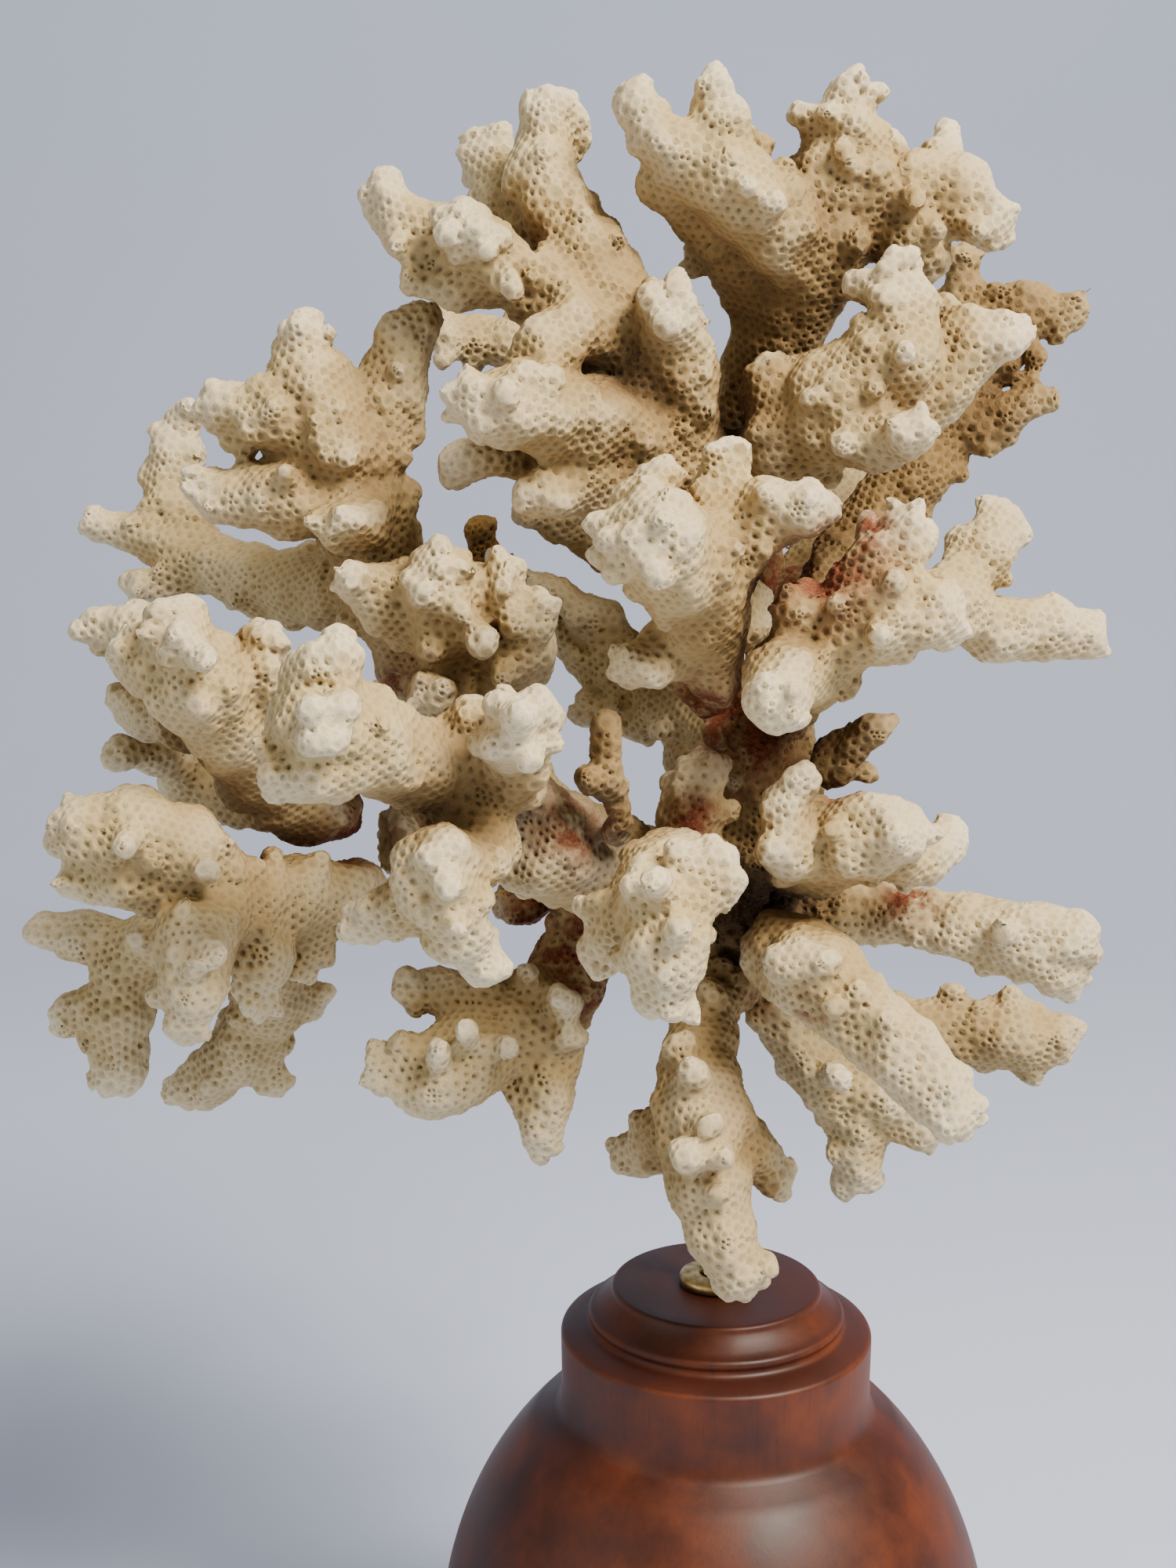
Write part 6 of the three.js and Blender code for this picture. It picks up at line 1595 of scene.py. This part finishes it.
# %% Turned shapes
def turned_piece(name, profile, material, node_name, steps=160):
    """Turns a profile of (radius, height) in mm round the axis.

    The profile starts and ends on the axis, or ends where it starts.
    """
    places, faces_of_rows = [], []
    closed = profile[0] == profile[-1]
    rows = profile[:-1] if closed else profile
    start = []
    for radius, height in rows:
        start.append(len(places))
        for k in range(1 if radius == 0 else steps):
            angle = 2 * math.pi * k / steps
            places.append((radius * math.cos(angle), radius * math.sin(angle), height))

    def two_of(row, k):
        """Two neighbouring points of a row, which are one on the axis."""
        here = start[row]
        return (here + k, here + (k + 1) % steps) if rows[row][0] else (here, here)

    for i in range(len(rows) if closed else len(rows) - 1):
        for k in range(steps):
            a, b = two_of(i, k)
            c, d = two_of((i + 1) % len(rows), k)
            faces_of_rows.append(list(dict.fromkeys((a, b, d, c))))
    mesh = bpy.data.meshes.new(name)
    mesh.from_pydata([tuple(v * MM for v in p) for p in places], [], faces_of_rows)
    mesh.polygons.foreach_set("use_smooth", [True] * len(faces_of_rows))
    mesh.materials.append(material)
    made = bpy.data.objects.new(name, mesh)
    bpy.context.scene.collection.objects.link(made)
    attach(made, "root")
    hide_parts(node_name)
    print(made.name, "faces", len(faces_of_rows))
    return made


def arc(centre, radius, from_degrees, to_degrees, steps):
    """Points along a part of a circle, for the rounded edges of a profile."""
    angles = np.radians(np.linspace(from_degrees, to_degrees, steps + 1))
    return [(centre[0] + radius * math.cos(a), centre[1] + radius * math.sin(a)) for a in angles]


print("a quarter round of 1 mm:", [(round(x, 2), round(z, 2)) for x, z in arc((0, 0), 1, 0, 90, 3)])

# %% [markdown]
# The wood is a reddish hardwood, stained dark and waxed. A photograph of wood could be wrapped
# round it, but noise in the block's own space runs through like real figure, also on the end
# grain, and has no seam.

# %% Waxed hardwood
# What it gives the eye: a soft, broken sheen, cloudy red and brown, and dark faces at the top.
FIGURE = 16 * MM
BLOT = 24 * MM
VESSEL_WIDTH = 0.7 * MM  # 0.3 mm in the wood, drawn coarser so that it shows
VESSEL_LENGTH = 9 * MM
VESSEL_DEPTH = 0.08 * MM
STAINED_WOOD = [(0.25, "#2b1007"), (0.45, "#451c09"), (0.62, "#5c280a"), (0.8, "#6e360e")]


def waxed_hardwood():
    material, tree, output = new_material("waxed_stained_hardwood")
    place = (node(tree, "TexCoord"), "Object")
    # A soft, cloudy figure, and dark blotches where the stain soaked in.
    figure = node(tree, "TexNoise", Vector=place, Scale=1 / FIGURE, Detail=5.0, Roughness=0.6)
    base = node(tree, "ValToRGB", {"stops": STAINED_WOOD}, i0=figure)
    blots = node(tree, "TexNoise", Vector=place, Scale=1 / BLOT, Detail=4.0, Roughness=0.55)
    blot_share = node(tree, "MapRange", Value=blots, From_Min=0.5, From_Max=0.75, To_Max=0.75)
    blotched = node(tree, "Mix", COLOUR, i0=blot_share, i6=base, i7="#170a07")
    # Vessels run along the block.
    along_grain = node(tree, "Mapping", Vector=place,
                       Scale=(1 / VESSEL_WIDTH, 1 / VESSEL_WIDTH, 1 / VESSEL_LENGTH))
    vessels = node(tree, "TexNoise", Vector=along_grain, Scale=1.0, Detail=4.0, Roughness=0.65)
    vessel_share = node(tree, "MapRange", Value=vessels, From_Min=0.52, From_Max=0.75,
                        To_Max=0.35)
    streaked = node(tree, "Mix", COLOUR, i0=vessel_share, i6=(blotched, 2), i7="#1a0b06")
    # Faces that look up are end grain, which drinks more stain.
    facing = node(tree, "SeparateXYZ", Vector=(node(tree, "NewGeometry"), "Normal"))
    end_grain = node(tree, "MapRange", Value=(facing, "Z"), From_Min=0.7, From_Max=0.97,
                     To_Max=0.75)
    coloured = node(tree, "Mix", COLOUR, i0=end_grain, i6=(streaked, 2), i7="#34130b")
    bump = node(tree, "Bump", Strength=0.2, Distance=VESSEL_DEPTH, Height=vessels)
    sheen = node(tree, "MapRange", Value=figure, From_Min=0.3, From_Max=0.7, To_Min=0.42,
                 To_Max=0.56)
    shader = node(tree, "BsdfPrincipled", Base_Color=(coloured, 2), Roughness=sheen, IOR=1.5,
                  Normal=bump, Coat_Weight=0.06, Coat_Roughness=0.35, Specular_IOR_Level=0.33)
    tree.links.new(shader.outputs[0], output.inputs[0])
    return material


wood = waxed_hardwood()
print(wood.name, "has", len(wood.node_tree.nodes), "nodes")

# %% [markdown]
# From the bottom up, the stand has a foot, a globe, a straight neck, a sloping collar, a bead and a
# flat disc with a hole for the rod. The photograph shows it from the globe's middle up. Each edge
# that a turner would break with sandpaper is a small arc, because that is where the wood shines.

# %% Stand
STAND_HEIGHT = 100
FOOT_RADIUS, FOOT_HEIGHT, FOOT_EDGE = 36, 7, 0.8
BODY_RADIUS, BODY_MIDDLE, BODY_RISE, BODY_DROP = 42.5, 40, 50.8, 62
NECK_RADIUS, NECK_BOTTOM, WAIST_HEIGHT = 23.5, 80, 86
BODY_BOTTOM, BODY_TOP, BODY_STEPS = FOOT_HEIGHT + 0.6, NECK_BOTTOM - 1.2, 40
COLLAR_HEIGHT, COLLAR_EDGE = 93, 0.9
BEAD_RADIUS, BEAD_HEIGHT, BEAD_EDGE = 19.3, 95.6, 0.9
DISC_RADIUS, DISC_EDGE = 15.8, 0.7
ROD_RADIUS, ROD_SINK, ROD_TOP, GAP = 1.4, 20, 154, 0.3
hole = ROD_RADIUS + GAP


def globe(z):
    """The globe's radius at a height: an oval that is longer below its middle."""
    half = BODY_DROP if z < BODY_MIDDLE else BODY_RISE
    return BODY_RADIUS * math.sqrt(1 - ((z - BODY_MIDDLE) / half) ** 2)


stand_profile = [
    (0, 0),
    *arc((FOOT_RADIUS - FOOT_EDGE, FOOT_EDGE), FOOT_EDGE, -90, 0, 4),
    *arc((FOOT_RADIUS - FOOT_EDGE, FOOT_HEIGHT - FOOT_EDGE), FOOT_EDGE, 0, 80, 4),
    *[(globe(z), z) for z in np.linspace(BODY_BOTTOM, BODY_TOP, BODY_STEPS)],
    # The neck, hollowed a little where it leaves the globe.
    (NECK_RADIUS + 1.1, NECK_BOTTOM + 0.1),
    (NECK_RADIUS + 0.35, NECK_BOTTOM + 1.1),
    (NECK_RADIUS, NECK_BOTTOM + 2.6),
    (NECK_RADIUS - 0.1, WAIST_HEIGHT),
    (NECK_RADIUS, COLLAR_HEIGHT - 1.2),
    *arc((NECK_RADIUS - COLLAR_EDGE, COLLAR_HEIGHT - 0.6), COLLAR_EDGE, -10, 75, 6),
    # The collar slopes in to a groove under the bead.
    (BEAD_RADIUS + 1.6, COLLAR_HEIGHT + 1.0),
    (BEAD_RADIUS + 0.5, COLLAR_HEIGHT + 1.0),
    (BEAD_RADIUS - 0.2, COLLAR_HEIGHT + 1.5),
    *arc((BEAD_RADIUS - BEAD_EDGE, BEAD_HEIGHT), BEAD_EDGE, -40, 85, 7),
    # A hollow leads up to the disc.
    (DISC_RADIUS + 1.9, BEAD_HEIGHT + 1.5),
    (DISC_RADIUS + 0.9, BEAD_HEIGHT + 2.4),
    (DISC_RADIUS + 0.2, STAND_HEIGHT - 1.1),
    *arc((DISC_RADIUS - DISC_EDGE, STAND_HEIGHT - DISC_EDGE), DISC_EDGE, 0, 90, 6),
    (DISC_RADIUS - 3, STAND_HEIGHT - 0.15),
    (6, STAND_HEIGHT - 0.1),
    # The hole for the rod.
    (hole + 0.2, STAND_HEIGHT),
    (hole, STAND_HEIGHT - 0.3),
    (hole, STAND_HEIGHT - ROD_SINK),
    (0, STAND_HEIGHT - ROD_SINK),
]
turned_piece("turned_stand", stand_profile, wood, "stand")

# %% [markdown]
# The rosette is brass that has gone brown in patches, and the rod is plain steel. Both are bare
# metal, so one function makes the two materials, each with a bright and a tarnished colour and a
# roughness that goes up where it is tarnished.

# %% Metals
# What it gives the eye: small bright glints that break up where the metal is dull.
SCRATCH = 0.3 * MM
SCRATCH_DEPTH = 0.05 * MM
TARNISH_ROUGHNESS = 0.25  # added where it is tarnished


def metal(name, bright, dark, patch, roughness):
    """Bare metal of two colours, in patches of the size given in metres."""
    material, tree, output = new_material(name)
    place = (node(tree, "TexCoord"), "Object")
    patches = node(tree, "TexNoise", Vector=place, Scale=1 / patch, Detail=4.0)
    darkened = node(tree, "MapRange", Value=patches, From_Min=0.42, From_Max=0.68)
    colour = node(tree, "Mix", COLOUR, i0=darkened, i6=bright, i7=dark)
    rough = node(tree, "MapRange", Value=patches, From_Min=0.3, From_Max=0.7,
                 To_Min=roughness, To_Max=roughness + TARNISH_ROUGHNESS)
    scratches = node(tree, "TexNoise", Vector=place, Scale=1 / SCRATCH, Detail=2.0)
    bump = node(tree, "Bump", Strength=0.15, Distance=SCRATCH_DEPTH, Height=scratches)
    shader = node(tree, "BsdfPrincipled", Base_Color=(colour, 2), Metallic=1.0, Roughness=rough,
                  Normal=bump)
    tree.links.new(shader.outputs[0], output.inputs[0])
    return material


brass = metal("aged_brass", "#c9b17a", "#8a713f", 1.5 * MM, 0.3)
steel = metal("dull_steel", "#5d5a57", "#34302d", 3.0 * MM, 0.38)
print(brass.name, "and", steel.name, "have", len(brass.node_tree.nodes), "nodes each")

# %% [markdown]
# The rosette lies on the disc round the hole, and the rod stands in the hole and goes up into the
# trunk. Both are turned from a profile like the stand, with fewer steps because they are small.

# %% Rosette and rod
ROSETTE_RADIUS, ROSETTE_HOLE, ROSETTE_HEIGHT = 5.6, 2.4, 1.6
ROSETTE_RIM, ROSETTE_LIP = 0.8, 0.7  # radii of its rounded edges
ROSETTE_STEPS, ROD_STEPS = 72, 40
ROD_RINGS = range(82, ROD_TOP, 4)

rosette_base = STAND_HEIGHT + GAP
rosette_top = rosette_base + ROSETTE_HEIGHT
rosette_profile = [
    (ROSETTE_HOLE, rosette_base),
    (ROSETTE_RADIUS, rosette_base),
    *arc((ROSETTE_RADIUS - ROSETTE_RIM, rosette_base + 0.6), ROSETTE_RIM, 0, 75, 6),
    (ROSETTE_RADIUS - 1.7, rosette_top - 0.1),
    *arc((ROSETTE_HOLE + ROSETTE_LIP, rosette_top - ROSETTE_LIP), ROSETTE_LIP, 90, 180, 6),
    (ROSETTE_HOLE, rosette_base),
]
turned_piece("brass_rosette", rosette_profile, brass, "rosette", ROSETTE_STEPS)

rod_foot = STAND_HEIGHT - ROD_SINK + GAP
rod_profile = [
    (0, rod_foot),
    (ROD_RADIUS, rod_foot),
    *[(ROD_RADIUS, z) for z in ROD_RINGS],
    (ROD_RADIUS, ROD_TOP),
    (0, ROD_TOP),
]
turned_piece("steel_rod", rod_profile, steel, "rod", ROD_STEPS)

# %% [markdown]
# A plain pale table that curves up behind like a studio sweep. A wall and a floor would show a
# hard line where they meet, and the curve leaves a soft change of tone instead.

# %% Table and backdrop
SWEEP_FRONT, SWEEP_BACK, SWEEP_BEND = -1500, 550, 500
SWEEP_TOP, SWEEP_HALF_WIDTH = 2500, 2500
PAPER_CLOUD = 180 * MM


def plain_paper():
    """Matt paper, nearly one tone, so that it takes no eye from the coral."""
    material, tree, output = new_material("pale_backdrop")
    place = (node(tree, "TexCoord"), "Object")
    soft = node(tree, "TexNoise", Vector=place, Scale=1 / PAPER_CLOUD, Detail=2.0)
    colour = node(tree, "Mix", COLOUR, i0=soft, i6="#c6d1e9", i7="#cfd9ef")
    shader = node(tree, "BsdfPrincipled", Base_Color=(colour, 2), Roughness=0.95)
    tree.links.new(shader.outputs[0], output.inputs[0])
    return material


sweep = [(SWEEP_FRONT, 0), (SWEEP_BACK, 0)]
sweep += [(SWEEP_BACK + SWEEP_BEND * math.sin(a), SWEEP_BEND * (1 - math.cos(a)))
          for a in np.radians(np.arange(5, 91, 5))]
sweep += [(SWEEP_BACK + SWEEP_BEND, SWEEP_TOP)]
sweep_points = [(x * MM, y * MM, z * MM)
                for y, z in sweep for x in (-SWEEP_HALF_WIDTH, SWEEP_HALF_WIDTH)]
sweep_faces = [(2 * k, 2 * k + 1, 2 * k + 3, 2 * k + 2) for k in range(len(sweep) - 1)]
sweep_mesh = bpy.data.meshes.new("table_and_backdrop")
sweep_mesh.from_pydata(sweep_points, [], sweep_faces)
sweep_mesh.polygons.foreach_set("use_smooth", [True] * len(sweep_faces))
sweep_mesh.materials.append(plain_paper())
backdrop = bpy.data.objects.new("table_and_backdrop", sweep_mesh)
bpy.context.scene.collection.objects.link(backdrop)
print("backdrop faces", len(sweep_faces))

# %% [markdown]
# One large soft light stands to the upper right like a window, and lights the coral's tops. A
# weak, wide one on the left and the room's own light open the shade, but leave the hollows dark.

# %% Light
WINDOW_PLACE, WINDOW_AIM = (420, -420, 820), (-10, 0, 200)  # mm
WINDOW_SIZE, WINDOW_WATTS = 420, 20
ROOM_PLACE, ROOM_AIM = (-800, -500, 450), (0, 0, 190)
ROOM_SIZE, ROOM_WATTS = 900, 2
AMBIENT = 0.38


def softbox(name, place, aim, size, watts, colour):
    """A round area light at a place in mm, turned to face another."""
    light = bpy.data.lights.new(name, "AREA")
    light.shape = "DISK"
    light.size = size * MM
    light.energy = watts
    light.color = linear(colour)[:3]
    lamp = bpy.data.objects.new(name, light)
    lamp.location = Vector(place) * MM
    lamp.rotation_euler = (Vector(aim) - Vector(place)).to_track_quat("-Z", "Y").to_euler()
    bpy.context.scene.collection.objects.link(lamp)


softbox("window_light", WINDOW_PLACE, WINDOW_AIM, WINDOW_SIZE, WINDOW_WATTS, "#fff6ea")
softbox("room_light", ROOM_PLACE, ROOM_AIM, ROOM_SIZE, ROOM_WATTS, "#f6f4f0")
world = bpy.data.worlds.new("room")
world.use_nodes = True
world.node_tree.nodes["Background"].inputs[0].default_value = linear("#ebe6dc")
world.node_tree.nodes["Background"].inputs[1].default_value = AMBIENT
bpy.context.scene.world = world
print("lights", len(bpy.data.lights), "watts", [light.energy for light in bpy.data.lights])
